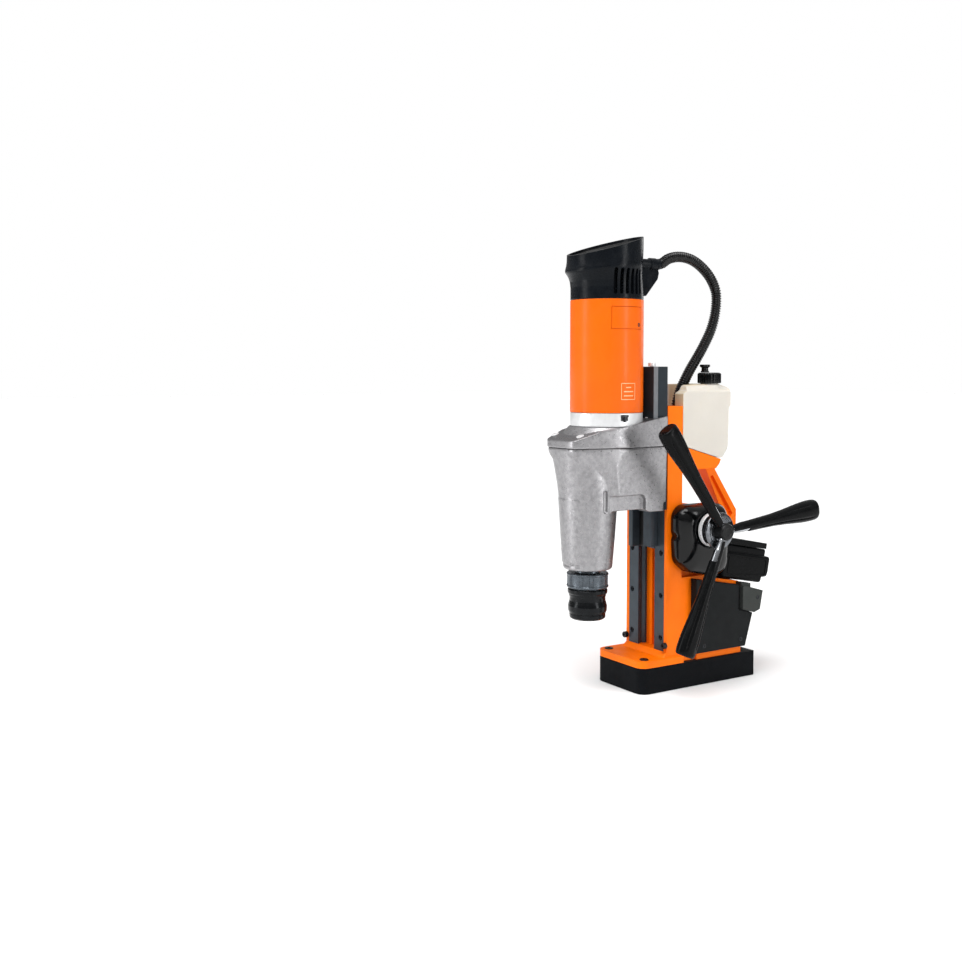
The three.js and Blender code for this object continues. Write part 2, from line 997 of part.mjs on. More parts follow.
// body behind the nose, up to the joint
const shrink = (k, yMin) => half0.map(([x, y]) => [x * k, Math.max(y, yMin)]);
const upper = loft([
  mirrorOutline(half0.map(([x, y]) => [Math.min(x, 38.4), y < -110 ? -110 + (y + 110) * 0.32 : y])).map(([x, y]) => [x, y, 209.6]),
  mirrorOutline(half0.map(([x, y]) => [Math.min(x, 39), y < -110 ? -110 + (y + 110) * 0.6 : y])).map(([x, y]) => [x, y, 244]),
  joint.map(([x, y]) => [x * 0.985, y, 276.5]),
  joint.map(([x, y]) => [x, y, 279.75]),
]);
const rearLobe = prismX(
  [
    [-92, 216],
    [-92, 209.5],
    [-80, 209.5],
    [-74, 206.5],
    [-53, 206.5],
    [-50.3, 209.5],
    [-50.3, 216],
  ],
  -38.4,
  38.4,
);
let housing = add(nose, upper, rearLobe);
housing = cut(
  housing,
  box(-36.3, 36.3, -65.1, -40, 190, 300), // seat on the motor slide
  rod(24, 252.7, 300, 28).translate([0, SPINDLE_Y, 0]),
  rod(17.6, 252.7, 300, 24).translate([IDLER.x, IDLER.y, 0]),
  rod(11, 252.7, 300, 20).translate([0, MOTOR_Y, 0]),
  rod(4.3, 240, 300, 12).translate([IDLER.x, IDLER.y, 0]),
  rod(16.3, 130, 252.8, 24).translate([0, SPINDLE_Y, 0]),
  box(-20, 20, -103, -66, 196, 240), // hollow under the bridge
  box(36.2, 50, -53.6, -40, 200, 216.5),
  box(-50, -36.2, -53.6, -40, 200, 216.5),
);
// recessed side panels over the bridge and the slot beside the nose
for (const s of [1, -1]) {
  housing = cut(
    housing,
    prismX(roundRect(-127, -79.8, 196, 226.4, [0, 0, 5, 2], 3), s > 0 ? 32.5 : -60, s > 0 ? 60 : -32.5),
    prismX(roundRect(-134.2, -129.4, 208.6, 232.4, 2.3, 3), s > 0 ? 30 : -60, s > 0 ? 60 : -30),
  );
}
put("gearbox_housing", housing, "alu");

// ================================================================ motor
put(
  "neck_ring",
  cut(
    add(
      tube(41, 34, 303.5, 318.4, 40),
      box(39.8, 43.2, -3.4, 3.4, 309.8, 316.6),
    ),
    box(42, 44, -5, 5, 306, 311.4),
  ).translate([0, MOTOR_Y, 0]),
  "bright",
);
const wedge = (r0, r1, a0, a1, z0, z1, n = 8) => {
  const p = [];
  for (let i = 0; i <= n; i++) {
    const a = ((a0 + ((a1 - a0) * i) / n) * Math.PI) / 180;
    p.push([r1 * Math.cos(a), r1 * Math.sin(a)]);
  }
  for (let i = n; i >= 0; i--) {
    const a = ((a0 + ((a1 - a0) * i) / n) * Math.PI) / 180;
    p.push([r0 * Math.cos(a), r0 * Math.sin(a)]);
  }
  return prismZ(p, z0, z1);
};
put(
  "motor_housing",
  cut(
    tube(41.2, 36, 318.7, 444.3, 40),
    wedge(38.6, 45, -31, 28, 411, 436),
    wedge(34, 39, -25, 22, 414.5, 432.5),
  ).translate([0, MOTOR_Y, 0]),
  "orange",
);
put("brush_cover", wedge(38.9, 41.2, -30.5, 27.5, 411.3, 435.7).translate([0, MOTOR_Y, 0]), "orange");
put("motor_stator", tube(35.6, 24, 340, 410, 32).translate([0, MOTOR_Y, 0]), "steel");
// fan end cap: flared collar under a top that slopes down to the front
// the collar's front bulges forward and its rings tilt towards the slope of the top
const CAP_TILT = 0.29;
const capRings = [
  [444.6, 41, 0, 0],
  [458, 40.7, -0.4, 0],
  [466, 40.9, -1.2, 0.03],
  [473, 41.8, -2.8, 0.07],
  [479, 43.4, -4.4, 0.11],
  [483, 43.7, -4.5, 0.13],
  [492, 43.1, -3.2, 0.2],
  [540, 42.6, -2.4, CAP_TILT],
];
const capRing = (grow) =>
  capRings.map(([z, r, dy, k]) => ringPts(0, MOTOR_Y + dy, r + grow, 32).map(([x, y]) => [x, y, z + k * (y - MOTOR_Y)]));
let cap = loft(capRing(0));
const slope = [0, -CAP_TILT, 1];
const down = slope.map((v) => -v);
cap = half(cap, [0, -150, 493.4], down);
let dish = rod(39.8, 440, 580, 32).translate([0, MOTOR_Y - 2.6, 0]);
dish = half(dish, [0, -150, 488.6], slope);
let inner = half(rod(35, 440, 580, 24).translate([0, MOTOR_Y - 0.8, 0]), [0, -150, 484.4], down);
cap = cut(cap, dish, inner);
for (const s of [0, 180])
  for (let i = 0; i < 6; i++) {
    const a = s + (i - 2.5) * 10;
    cap = cut(cap, box(28, 60, -1.6, 1.6, 449.5, 478).rotate([0, 0, a]).translate([0, MOTOR_Y, 0]));
  }
put("motor_cap", cap, "black");
let grille = half(
  half(rod(39.4, 440, 580, 32).translate([0, MOTOR_Y - 2.6, 0]), [0, -150, 489], slope),
  [0, -150, 491],
  down,
);
for (let i = -3; i <= 3; i++) {
  const reach = Math.sqrt(34 * 34 - 81 * i * i);
  grille = cut(grille, box(i * 9 - 1.6, i * 9 + 1.6, MOTOR_Y - 2.6 - reach, MOTOR_Y - 2.6 + reach, 470, 540));
}
put("top_grille", grille, "dark");
// hose gland and its gusset on the back of the cap
put(
  "conduit_gland",
  cut(
    add(
      alongY(turn([[0, -72], [5.6, -72], [5.6, -58.4], [6.9, -57.4], [6.9, -49], [5.9, -47.6], [5.9, -43.3], [0, -43.3]], 16)).translate([14, 0, 486.5]),
      prismX(
        [
          [-72, 481],
          [-60.5, 483],
          [-46, 483],
          [-44, 476.5],
          [-46, 469.5],
          [-63, 449.5],
          [-72, 449.5],
        ],
        11.4,
        16.6,
      ),
    ),
    loft(capRing(0.35)),
  ),
  "black",
);
const hose = [
  [14, -46, 486.4],
  [14, -38, 488.2],
  [13.6, -28.5, 493.6],
  [13, -12.3, 496.9],
  [12.5, 5.7, 495.2],
  [12, 21.9, 488.4],
  [12, 37.6, 475.6],
  [11.6, 47.2, 460.6],
  [11.3, 49.1, 449],
  [11, 47.2, 431.1],
  [10.6, 41.4, 413.3],
  [10.1, 31.2, 395.4],
  [9.6, 20.7, 380.1],
  [9.2, 10.2, 366],
  [9, 1.3, 352],
  [9, -5.2, 340.3],
  [9, -8.9, 330],
  [9, -10.2, 320],
];
{
  const curve = new THREE.CatmullRomCurve3(hose.map((p) => new THREE.Vector3(...p)), false, "centripetal");
  const ring = Array.from({ length: 10 }, (_, i) => {
    const a = (2 * Math.PI * i) / 10;
    return [6.2 * Math.cos(a), 6.2 * Math.sin(a)];
  });
  const g = new THREE.ExtrudeGeometry(shapeOf(ring), { steps: 30, extrudePath: curve, bevelEnabled: false });
  let s = solid(g);
  s = half(s, [0, 0, 322.0], [0, 0, 1]);
  s = half(s, [0, -42.9, 0], [0, 1, 0]);
  put("cable_conduit", s, "black");
}

// ================================================================ rotor, idler, spindle
const lineAngle = (a, b) => Math.atan2(b[1] - a[1], b[0] - a[0]);
const A = [0, MOTOR_Y],
  B = [IDLER.x, IDLER.y],
  C = [0, SPINDLE_Y];
const phaseA = lineAngle(A, B);
const phaseBbig = lineAngle(A, B) + Math.PI + Math.PI / TEETH.idlerBig;
const phaseBsmall = lineAngle(B, C);
const phaseC = lineAngle(B, C) + Math.PI + Math.PI / TEETH.spindle;
put(
  "motor_rotor",
  add(
    gear(GEAR_MODULE, TEETH.motor, phaseA, 268, 277.5),
    rod(4.6, 277, 436, 14),
    turn([[0, 342], [21, 342], [23.2, 345], [23.2, 405], [21, 408], [0, 408]], 28),
    rod(31, 428, 431, 28),
    rod(12, 424, 429, 16),
  ).translate([0, MOTOR_Y, 0]),
  "steel",
);
put(
  "idler_gear",
  add(
    gear(GEAR_MODULE, TEETH.idlerBig, phaseBbig, 268.4, 277.2),
    gear(GEAR_MODULE, TEETH.idlerSmall, phaseBsmall, 254, 269),
    rod(4, 242, 283, 12),
  ).translate([...B, 0]),
  "steel",
);
put(
  "spindle_shaft",
  add(
    rod(10.8, 142, 280, 20),
    gear(GEAR_MODULE, TEETH.spindle, phaseC, 254.4, 264.6),
  ).translate([0, SPINDLE_Y, 0]),
  "steel",
);
put("spindle_bearing", tube(16, 11.1, 146, 158, 24).translate([0, SPINDLE_Y, 0]), "bright");
put(
  "chuck_body",
  turn(
    [
      [9.6, 85.8],
      [15.8, 85.8],
      [16.4, 86.4],
      [16.4, 122.8],
      [22.9, 122.8],
      [23.7, 123.6],
      [23.7, 138],
      [22.9, 138.8],
      [14, 138.8],
      [14, 141.7],
      [0, 141.7],
      [0, 132.8],
      [9.6, 132.8],
    ],
    28,
  ).translate([0, SPINDLE_Y, 0]),
  "dark",
);
put(
  "chuck_sleeve",
  turn(
    [
      [16.8, 86.2],
      [18.6, 86.2],
      [20.4, 88],
      [20.6, 93],
      [21.8, 96],
      [22, 101.6],
      [20.9, 106.6],
      [20.9, 111.6],
      [22.4, 116.2],
      [22.4, 119.6],
      [21.5, 120.7],
      [16.8, 120.7],
    ],
    28,
  ).translate([0, SPINDLE_Y, 0]),
  "dark",
);

// ================================================================ feed shaft and levers
const phaseP = 0; // teeth counted from -Y, where the rack is
{
  // the pinion's outline lies in Y-Z; a tooth points at the rack
  const pts = gearOutline(MODULE_RACK, PINION_TEETH, Math.PI + phaseP);
  const p = prismX(pts, -4, 4);
  const shaft = add(
    alongX(rod(8, -25.5, 66, 20)),
    p,
    alongX(
      turn(
        [
          [0, 66.2],
          [18.5, 66.2],
          [19.3, 67],
          [21.2, 75],
          [20.6, 76.4],
          [9.6, 76.9],
          [9.6, 87.6],
          [8, 89.4],
          [0, 89.8],
        ],
        28,
      ),
    ),
    alongX(rod(8, 60, 68, 20)),
  );
  put("feed_shaft_hub", shaft.translate([0, FEED.y, FEED.z]), "dark");
}
// grip section at distance r from the axis: half-width in the lever's plane, half-thickness along X
const gripForm = [
  [24.8, 6.3, 5.3],
  [37, 6.3, 5.6],
  [56, 6.8, 6.1],
  [74, 7.4, 6.5],
  [94, 9, 7.3],
  [112, 11, 8.3],
  [127, 12.4, 9.1],
  [138, 12.5, 9.2],
  [144.8, 11.8, 8.7],
  [146.2, 10.6, 7.6],
];
for (let k = 0; k < 3; k++) {
  const a = LEVER_ANGLE - 120 * k;
  const place = (s) => s.rotate([a - 90, 0, 0]).translate([LEVER_X, FEED.y, FEED.z]);
  put("lever_rod_" + (k + 1), place(turn([[0, 10.1], [3.3, 10.1], [5.2, 22], [5.2, 24.4], [0, 24.4]], 16)), "chrome");
  const n = 12;
  const grip = loft(
    gripForm.map(([r, w, t]) =>
      Array.from({ length: n }, (_, i) => {
        const u = (2 * Math.PI * i) / n;
        return [t * Math.cos(u), w * Math.sin(u), r];
      }),
    ),
  );
  put("lever_grip_" + (k + 1), place(grip), "black");
}

export default object;
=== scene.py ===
# Looks of a cordless magnetic core drill press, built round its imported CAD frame.
# Metres, same frame as the CAD: origin at the centre of the magnet foot's underside, +Z up, -Y the spindle side.
import math
import bpy
import bmesh
import numpy as np
from mathutils import Matrix, Vector


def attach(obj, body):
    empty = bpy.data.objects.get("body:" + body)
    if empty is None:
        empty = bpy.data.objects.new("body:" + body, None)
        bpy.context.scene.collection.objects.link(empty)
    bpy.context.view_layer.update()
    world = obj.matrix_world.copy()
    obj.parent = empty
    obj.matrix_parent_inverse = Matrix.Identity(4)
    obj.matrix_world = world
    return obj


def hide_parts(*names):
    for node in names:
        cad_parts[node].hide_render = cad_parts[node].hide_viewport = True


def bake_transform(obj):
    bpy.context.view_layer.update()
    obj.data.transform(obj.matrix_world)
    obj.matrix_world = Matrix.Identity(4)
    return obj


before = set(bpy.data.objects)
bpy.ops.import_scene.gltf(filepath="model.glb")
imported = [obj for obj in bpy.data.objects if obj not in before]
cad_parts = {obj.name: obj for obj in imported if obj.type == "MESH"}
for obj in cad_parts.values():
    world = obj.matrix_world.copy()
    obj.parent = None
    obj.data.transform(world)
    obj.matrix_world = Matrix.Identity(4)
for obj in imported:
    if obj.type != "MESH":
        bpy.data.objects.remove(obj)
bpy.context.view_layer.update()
MM = 0.001
scene = bpy.context.scene

# ---------------------------------------------------------------- camera
cam_data = bpy.data.cameras.new("camera")
cam = bpy.data.objects.new("camera", cam_data)
scene.collection.objects.link(cam)
scene.camera = cam
az, tip = math.radians(58.03), 0.05
right = Vector((math.cos(az), math.sin(az), 0))
forward = Vector((-math.sin(az) * math.cos(tip), math.cos(az) * math.cos(tip), -math.sin(tip)))
upward = right.cross(forward)
rot = Matrix((right, upward, -forward)).transposed().to_4x4()
cam.matrix_world = Matrix.Translation((1.0375, -0.9213, 0.3676)) @ rot
cam_data.sensor_width = 36
cam_data.lens = 1159 / 962 * 36
cam_data.shift_y = (426.7 - 481) / 962
cam_data.clip_start, cam_data.clip_end = 0.05, 60
cam_data.dof.use_dof = False

# ---------------------------------------------------------------- hose route (the same points as the CAD)
HOSE = [
    (14, -46, 486.4), (14, -38, 488.2), (13.6, -28.5, 493.6), (13, -12.3, 496.9), (12.5, 5.7, 495.2),
    (12, 21.9, 488.4), (12, 37.6, 475.6), (11.6, 47.2, 460.6), (11.3, 49.1, 449), (11, 47.2, 431.1),
    (10.6, 41.4, 413.3), (10.1, 31.2, 395.4), (9.6, 20.7, 380.1), (9.2, 10.2, 366), (9, 1.3, 352),
    (9, -5.2, 340.3), (9, -8.9, 330), (9, -10.2, 320),
]


def catmull(points, per=40):
    """Centripetal Catmull-Rom through the points."""
    p = [np.array(q, float) for q in points]
    p = [2 * p[0] - p[1]] + p + [2 * p[-1] - p[-2]]
    out = []
    for i in range(1, len(p) - 2):
        a, b, c, d = p[i - 1 : i + 3]
        t0, t1 = 0.0, np.linalg.norm(b - a) ** 0.5
        t2 = t1 + np.linalg.norm(c - b) ** 0.5
        t3 = t2 + np.linalg.norm(d - c) ** 0.5
        for t in np.linspace(t1, t2, per, endpoint=False):
            a1 = (t1 - t) / (t1 - t0) * a + (t - t0) / (t1 - t0) * b
            a2 = (t2 - t) / (t2 - t1) * b + (t - t1) / (t2 - t1) * c
            a3 = (t3 - t) / (t3 - t2) * c + (t - t2) / (t3 - t2) * d
            b1 = (t2 - t) / (t2 - t0) * a1 + (t - t0) / (t2 - t0) * a2
            b2 = (t3 - t) / (t3 - t1) * a2 + (t - t1) / (t3 - t1) * a3
            out.append((t2 - t) / (t2 - t1) * b1 + (t - t1) / (t2 - t1) * b2)
    out.append(p[-2])
    return np.array(out)


def even(line, step):
    """The polyline resampled at an even step."""
    s = np.concatenate([[0], np.cumsum(np.linalg.norm(np.diff(line, axis=0), axis=1))])
    n = max(2, int(round(s[-1] / step)) + 1)
    t = np.linspace(0, s[-1], n)
    return np.stack([np.interp(t, s, line[:, k]) for k in range(3)], 1), s[-1]


# ---------------------------------------------------------------- materials
def lin(r, g, b):
    f = lambda c: c / 12.92 if c <= 0.04045 else ((c + 0.055) / 1.055) ** 2.4
    return (f(r / 255), f(g / 255), f(b / 255), 1.0)


def material(
    name, base, rough=0.5, metal=0.0, vary=0.1, patch=14.0, speck=0.0, speck_mm=1.2, rough_vary=0.08,
    bumps=((0.6, 0.02),), coat=0.0, coat_rough=0.1, spec=0.5, ior=1.5, streak=None, dust=0.0, sss=0.0,
    tint=None, tint_amount=0.0, aniso=0.0, sides=(),
):
    """A procedural finish. Lengths are in millimetres: patch and speck_mm are the sizes of the colour changes, bumps are
    (size, height) pairs of the surface's relief, streak is (axis, size, amount, height) of brushing along an axis."""
    m = bpy.data.materials.new(name)
    m.use_nodes = True
    nt = m.node_tree
    nt.nodes.clear()
    new, link = nt.nodes.new, nt.links.new
    out = new("ShaderNodeOutputMaterial")
    sh = new("ShaderNodeBsdfPrincipled")
    link(sh.outputs[0], out.inputs[0])
    tc = new("ShaderNodeTexCoord")
    sc = new("ShaderNodeMapping")
    sc.inputs["Scale"].default_value = (1000, 1000, 1000)
    link(tc.outputs["Object"], sc.inputs["Vector"])
    pos = sc.outputs[0]

    def noise(size, detail=3.0, at=None, rough_=0.55):
        n = new("ShaderNodeTexNoise")
        n.inputs["Scale"].default_value = 1.0 / size
        n.inputs["Detail"].default_value = detail
        n.inputs["Roughness"].default_value = rough_
        link(at or pos, n.inputs["Vector"])
        return n.outputs["Fac"]

    def ramp(x, lo, hi, a=0.35, b=0.65):
        r = new("ShaderNodeMapRange")
        r.inputs["From Min"].default_value, r.inputs["From Max"].default_value = a, b
        r.inputs["To Min"].default_value, r.inputs["To Max"].default_value = lo, hi
        link(x, r.inputs["Value"])
        return r.outputs[0]

    def mix(fac, a, b):
        x = new("ShaderNodeMix")
        x.data_type = "RGBA"
        if hasattr(fac, "is_output"):
            link(fac, x.inputs[0])
        else:
            x.inputs[0].default_value = fac
        for v, k in ((a, 6), (b, 7)):
            if hasattr(v, "is_output"):
                link(v, x.inputs[k])
            else:
                x.inputs[k].default_value = v
        return x.outputs[2]

    dark = tuple(c * (1 - vary) for c in base[:3]) + (1,)
    light = tuple(min(1, c * (1 + vary)) for c in base[:3]) + (1,)
    big = noise(patch, 4.0)
    col = mix(ramp(big, 0, 1), dark, light)
    if tint is not None:
        col = mix(ramp(noise(patch * 1.7, 5.0), 0, tint_amount, 0.5, 0.72), col, tint)
    if speck:
        col = mix(ramp(noise(speck_mm, 2.0), 0, speck, 0.5, 0.75), col, dark if metal else tuple(min(1, c * 1.35 + 0.01) for c in base[:3]) + (1,))
    rgh = ramp(noise(patch * 0.45, 4.0), max(0.02, rough - rough_vary), min(1, rough + rough_vary))
    height = None
    if streak:
        axis, size, amount, rise = streak
        st = new("ShaderNodeMapping")
        s = [1000.0] * 3
        s["xyz".index(axis)] = 18.0
        st.inputs["Scale"].default_value = s
        link(tc.outputs["Object"], st.inputs["Vector"])
        sn = noise(size, 3.0, st.outputs[0])
        col = mix(ramp(sn, 0, amount), col, dark)
        b = new("ShaderNodeBump")
        b.inputs["Distance"].default_value = rise * MM
        b.inputs["Strength"].default_value = 1
        link(sn, b.inputs["Height"])
        height = b
    if dust:
        geo = new("ShaderNodeNewGeometry")
        sep = new("ShaderNodeSeparateXYZ")
        link(geo.outputs["Normal"], sep.inputs[0])
        upf = ramp(sep.outputs[2], 0, 1, 0.3, 1.0)
        mul = new("ShaderNodeMath")
        mul.operation = "MULTIPLY"
        link(upf, mul.inputs[0])
        link(ramp(noise(5.0, 4.0), 0, dust), mul.inputs[1])
        col = mix(mul.outputs[0], col, (0.45, 0.44, 0.42, 1))
    # painted shade: faces turned along the given axis are mixed towards a darker colour, which stands in for how light
    # falls on them
    for axis_, sign, shade, amount in sides:
        geo = new("ShaderNodeNewGeometry")
        sep = new("ShaderNodeSeparateXYZ")
        link(geo.outputs["Normal"], sep.inputs[0])
        col = mix(ramp(sep.outputs["xyz".index(axis_)], 0, amount, 0.70 * sign, 0.97 * sign), col, shade)
    for size, rise in bumps:
        b = new("ShaderNodeBump")
        b.inputs["Distance"].default_value = rise * MM
        b.inputs["Strength"].default_value = 1
        link(noise(size, 2.0), b.inputs["Height"])
        if height:
            link(height.outputs[0], b.inputs["Normal"])
        height = b
    link(col, sh.inputs["Base Color"])
    link(rgh, sh.inputs["Roughness"])
    if height:
        link(height.outputs[0], sh.inputs["Normal"])
    sh.inputs["Metallic"].default_value = metal
    sh.inputs["IOR"].default_value = ior
    sh.inputs["Specular IOR Level"].default_value = spec
    if coat:
        sh.inputs["Coat Weight"].default_value = coat
        sh.inputs["Coat Roughness"].default_value = coat_rough
    if sss:
        sh.inputs["Subsurface Weight"].default_value = sss
        sh.inputs["Subsurface Radius"].default_value = (0.01, 0.008, 0.006)
        sh.inputs["Subsurface Scale"].default_value = 0.4
    if aniso:
        sh.inputs["Anisotropic"].default_value = aniso
    m.diffuse_color = base
    return m


M = {
    "orange_paint": material("orange_powder_coat", lin(248, 113, 3), 0.42, vary=0.04, patch=30, speck=0.08, speck_mm=0.8, bumps=((1.1, 0.010), (5.0, 0.02)), coat=0.05, coat_rough=0.25, spec=0.1),
    "orange_plastic": material("orange_moulding", lin(230, 97, 2), 0.40, vary=0.03, patch=26, speck=0.05, speck_mm=0.6, bumps=((0.7, 0.006),), coat=0.08, coat_rough=0.16, spec=0.14),
    "foot_coat": material("foot_enamel", lin(10, 12, 15), 0.50, vary=0.16, patch=16, speck=0.30, speck_mm=1.0, bumps=((0.8, 0.012), (6, 0.04)), dust=0.04, spec=0.05),
    "steel": material("ground_steel", lin(132, 134, 136), 0.30, 1.0, vary=0.12, patch=9, bumps=((0.5, 0.004),), streak=("x", 0.5, 0.5, 0.004)),
    "rail_steel": material("blued_rail_steel", lin(64, 72, 79), 0.38, 0.35, vary=0.10, patch=12, bumps=((0.7, 0.006),), streak=("z", 0.6, 0.55, 0.006), tint=lin(64, 68, 74), tint_amount=0.35, spec=0.2),
    "dark_steel": material("black_oxide_steel", lin(40, 42, 45), 0.34, 0.75, vary=0.22, patch=7, speck=0.3, speck_mm=0.9, bumps=((0.8, 0.01),), rough_vary=0.12),
    "chuck_steel": material("phosphated_steel", lin(84, 90, 96), 0.3, 0.85, vary=0.08, patch=6, speck=0.12, speck_mm=0.8, bumps=((0.6, 0.008),), rough_vary=0.10),
    "black_plastic": material("black_gloss_moulding", lin(6, 7, 8), 0.14, vary=0.15, patch=20, speck=0.12, speck_mm=0.7, bumps=((0.9, 0.005),), spec=0.26),
    "battery_plastic": material("black_satin_moulding", lin(8, 9, 10), 0.34, vary=0.14, patch=14, speck=0.3, speck_mm=0.7, bumps=((0.55, 0.012),), spec=0.07),
    "grip_plastic": material("grip_moulding", lin(8, 9, 10), 0.24, vary=0.18, patch=18, speck=0.22, speck_mm=0.8, bumps=((0.8, 0.008), (7, 0.04)), spec=0.08),
    "cap_plastic": material("fan_cap_moulding", lin(14, 17, 21), 0.26, vary=0.14, patch=16, speck=0.30, speck_mm=0.8, bumps=((0.8, 0.012),), spec=0.09),
    "graphite_plastic": material("graphite_moulding", lin(22, 24, 25), 0.50, vary=0.08, patch=22, speck=0.35, speck_mm=0.9, bumps=((0.8, 0.018),), spec=0.08),
    "slide_alu": material("anodised_plate", lin(42, 48, 53), 0.40, 0.25, vary=0.08, patch=14, bumps=((0.9, 0.005),), streak=("z", 0.7, 0.30, 0.004), spec=0.12),
    # cast_alu: its up-facing faces are mixed towards a darker grey, painted shade
    "cast_alu": material("raw_cast_aluminium", lin(152, 151, 153), 0.36, 0.82, vary=0.12, patch=4.5, speck=0.28, speck_mm=1.3, bumps=((0.8, 0.02), (1.8, 0.045), (5, 0.08)), rough_vary=0.10, tint=lin(112, 110, 113), tint_amount=0.42, streak=("z", 1.6, 0.22, 0.02), sides=(("z", 1, lin(88, 87, 90), 0.75),)),
    "machined_alu": material("machined_aluminium", lin(226, 227, 228), 0.36, 0.45, vary=0.05, patch=8, bumps=((0.6, 0.003),), streak=("z", 0.5, 0.2, 0.002), spec=0.6),
    "bright_metal": material("turned_bright_metal", lin(214, 216, 218), 0.24, 1.0, vary=0.10, patch=9, bumps=((0.5, 0.004),), rough_vary=0.08, tint=lin(150, 152, 156), tint_amount=0.4),
    "hub_metal": material("dark_hub_metal", lin(112, 115, 119), 0.20, 0.95, vary=0.2, patch=6, bumps=((0.7, 0.006),), rough_vary=0.08, tint=lin(52, 54, 57), tint_amount=0.6),
    "dark_chrome": material("polished_lever_steel", lin(170, 173, 177), 0.13, 1.0, vary=0.08, patch=8, bumps=((1.5, 0.004),), rough_vary=0.05),
    "knob_black": material("textured_knob", lin(13, 14, 15), 0.38, 0.3, vary=0.3, patch=3, speck=0.4, speck_mm=0.8, bumps=((0.8, 0.03),), spec=0.3),
    # slide edge: a lighter metal for the slide's chamfer strip, painted highlight
    "slide_chamfer_highlight": material("slide_edge_metal", lin(120, 126, 131), 0.42, 0.3, vary=0.06, patch=8, bumps=((0.6, 0.004),), streak=("z", 0.5, 0.2, 0.002), spec=0.3),
    "ring_silver": material("satin_silver_ring", lin(232, 233, 234), 0.34, 0.35, vary=0.04, patch=6, bumps=((0.5, 0.003),), spec=0.6),
    "cover_grey": material("olive_grey_moulding", lin(52, 55, 53), 0.48, vary=0.08, patch=22, speck=0.35, speck_mm=0.9, bumps=((0.8, 0.018),), spec=0.12),
    "badge_print": material("satin_foil", lin(250, 178, 124), 0.40, 0.1, vary=0.05, patch=5, bumps=((0.6, 0.004),)),
    "black_chuck": material("black_chuck_sleeve", lin(18, 20, 22), 0.22, 0.55, vary=0.2, patch=6, speck=0.2, speck_mm=0.8, bumps=((0.7, 0.006),), rough_vary=0.08, spec=0.3),
    "chrome": material("hard_chrome", lin(196, 199, 203), 0.10, 1.0, vary=0.06, patch=8, bumps=((1.5, 0.004),), rough_vary=0.05),
    # tank_plastic: its top and -Y faces are mixed towards a darker beige, painted shade
    "tank_plastic": material("natural_polyethylene", lin(204, 199, 190), 0.42, vary=0.02, patch=30, speck=0.05, bumps=((1.4, 0.012), (9, 0.05)), sss=0.2, tint=lin(218, 208, 188), tint_amount=0.18, spec=0.35, sides=(("z", 1, lin(206, 184, 142), 0.6), ("y", -1, lin(206, 182, 138), 0.7))),
    "hose_black": material("nylon_conduit", lin(5, 5, 6), 0.22, vary=0.2, patch=10, speck=0.2, speck_mm=0.6, bumps=((0.8, 0.01),), spec=0.32),
    "board": material("circuit_board", lin(24, 84, 48), 0.4, vary=0.2, patch=5, speck=0.6, speck_mm=0.7, bumps=((1.2, 0.05),), coat=0.3),
    "green_plastic": material("green_button", lin(40, 146, 74), 0.4, vary=0.06, patch=6, speck=0.1, bumps=((0.7, 0.010),)),
    "red_plastic": material("red_button", lin(190, 30, 26), 0.4, vary=0.06, patch=6, speck=0.1, bumps=((0.7, 0.010),)),
    "white_print": material("pale_print", lin(226, 226, 222), 0.5, vary=0.05, patch=5, bumps=((0.6, 0.004),)),
    # near-black for the carriage's recess sheet, which is painted shade, and for the top grille, which is dark plastic
    # plus painted shade of the cap's interior
    "near_black_shade": material("near_black_painted_shade", lin(9, 9, 10), 0.6, vary=0.2, patch=4, bumps=((0.8, 0.02),)),
}


# ---------------------------------------------------------------- mesh helpers (millimetres in, metres out)
def shade(me, angle=35):
    me.polygons.foreach_set("use_smooth", [True] * len(me.polygons))
    me.set_sharp_from_angle(angle=math.radians(angle))
    me.update()


def make(name, verts, faces, angle=35):
    me = bpy.data.meshes.new(name)
    me.from_pydata([(v[0] * MM, v[1] * MM, v[2] * MM) for v in verts], [], faces)
    bm = bmesh.new()
    bm.from_mesh(me)
    bmesh.ops.remove_doubles(bm, verts=bm.verts, dist=1e-7)
    bmesh.ops.recalc_face_normals(bm, faces=bm.faces)
    bm.to_mesh(me)
    bm.free()
    shade(me, angle)
    ob = bpy.data.objects.new(name, me)
    scene.collection.objects.link(ob)
    return ob


def bake(ob, angle=35):
    """Applies the object's modifiers."""
    bpy.context.view_layer.update()
    dg = bpy.context.evaluated_depsgraph_get()
    me = bpy.data.meshes.new_from_object(ob.evaluated_get(dg), preserve_all_data_layers=True, depsgraph=dg)
    old = ob.data
    ob.modifiers.clear()
    ob.data = me
    bpy.data.meshes.remove(old)
    shade(me, angle)
    return ob


def boolean(a, cutters, op="DIFFERENCE", solver="EXACT"):
    for c in cutters:
        md = a.modifiers.new("b", "BOOLEAN")
        md.operation, md.solver, md.object = op, solver, c
    bake(a)
    for c in cutters:
        me = c.data
        bpy.data.objects.remove(c)
        bpy.data.meshes.remove(me)
    return a


def bevel(ob, width, segments=3, angle=35, apply=True):
    md = ob.modifiers.new("bevel", "BEVEL")
    md.width, md.segments, md.limit_method = width * MM, segments, "ANGLE"
    md.angle_limit = math.radians(angle)
    md.use_clamp_overlap = True
    md.harden_normals = False
    wn = ob.modifiers.new("normals", "WEIGHTED_NORMAL")
    wn.keep_sharp = True
    if apply:
        bake(ob, 50)
        wn = ob.modifiers.new("normals", "WEIGHTED_NORMAL")
        wn.keep_sharp = True
        bpy.context.view_layer.update()
    return ob


def finish_piece(ob, body, mat, slot, *nodes):
    ob.data.materials.clear()
    ob.data.materials.append(M[mat])
    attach(ob, body)
    if nodes:
        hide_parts(*nodes)
    return ob


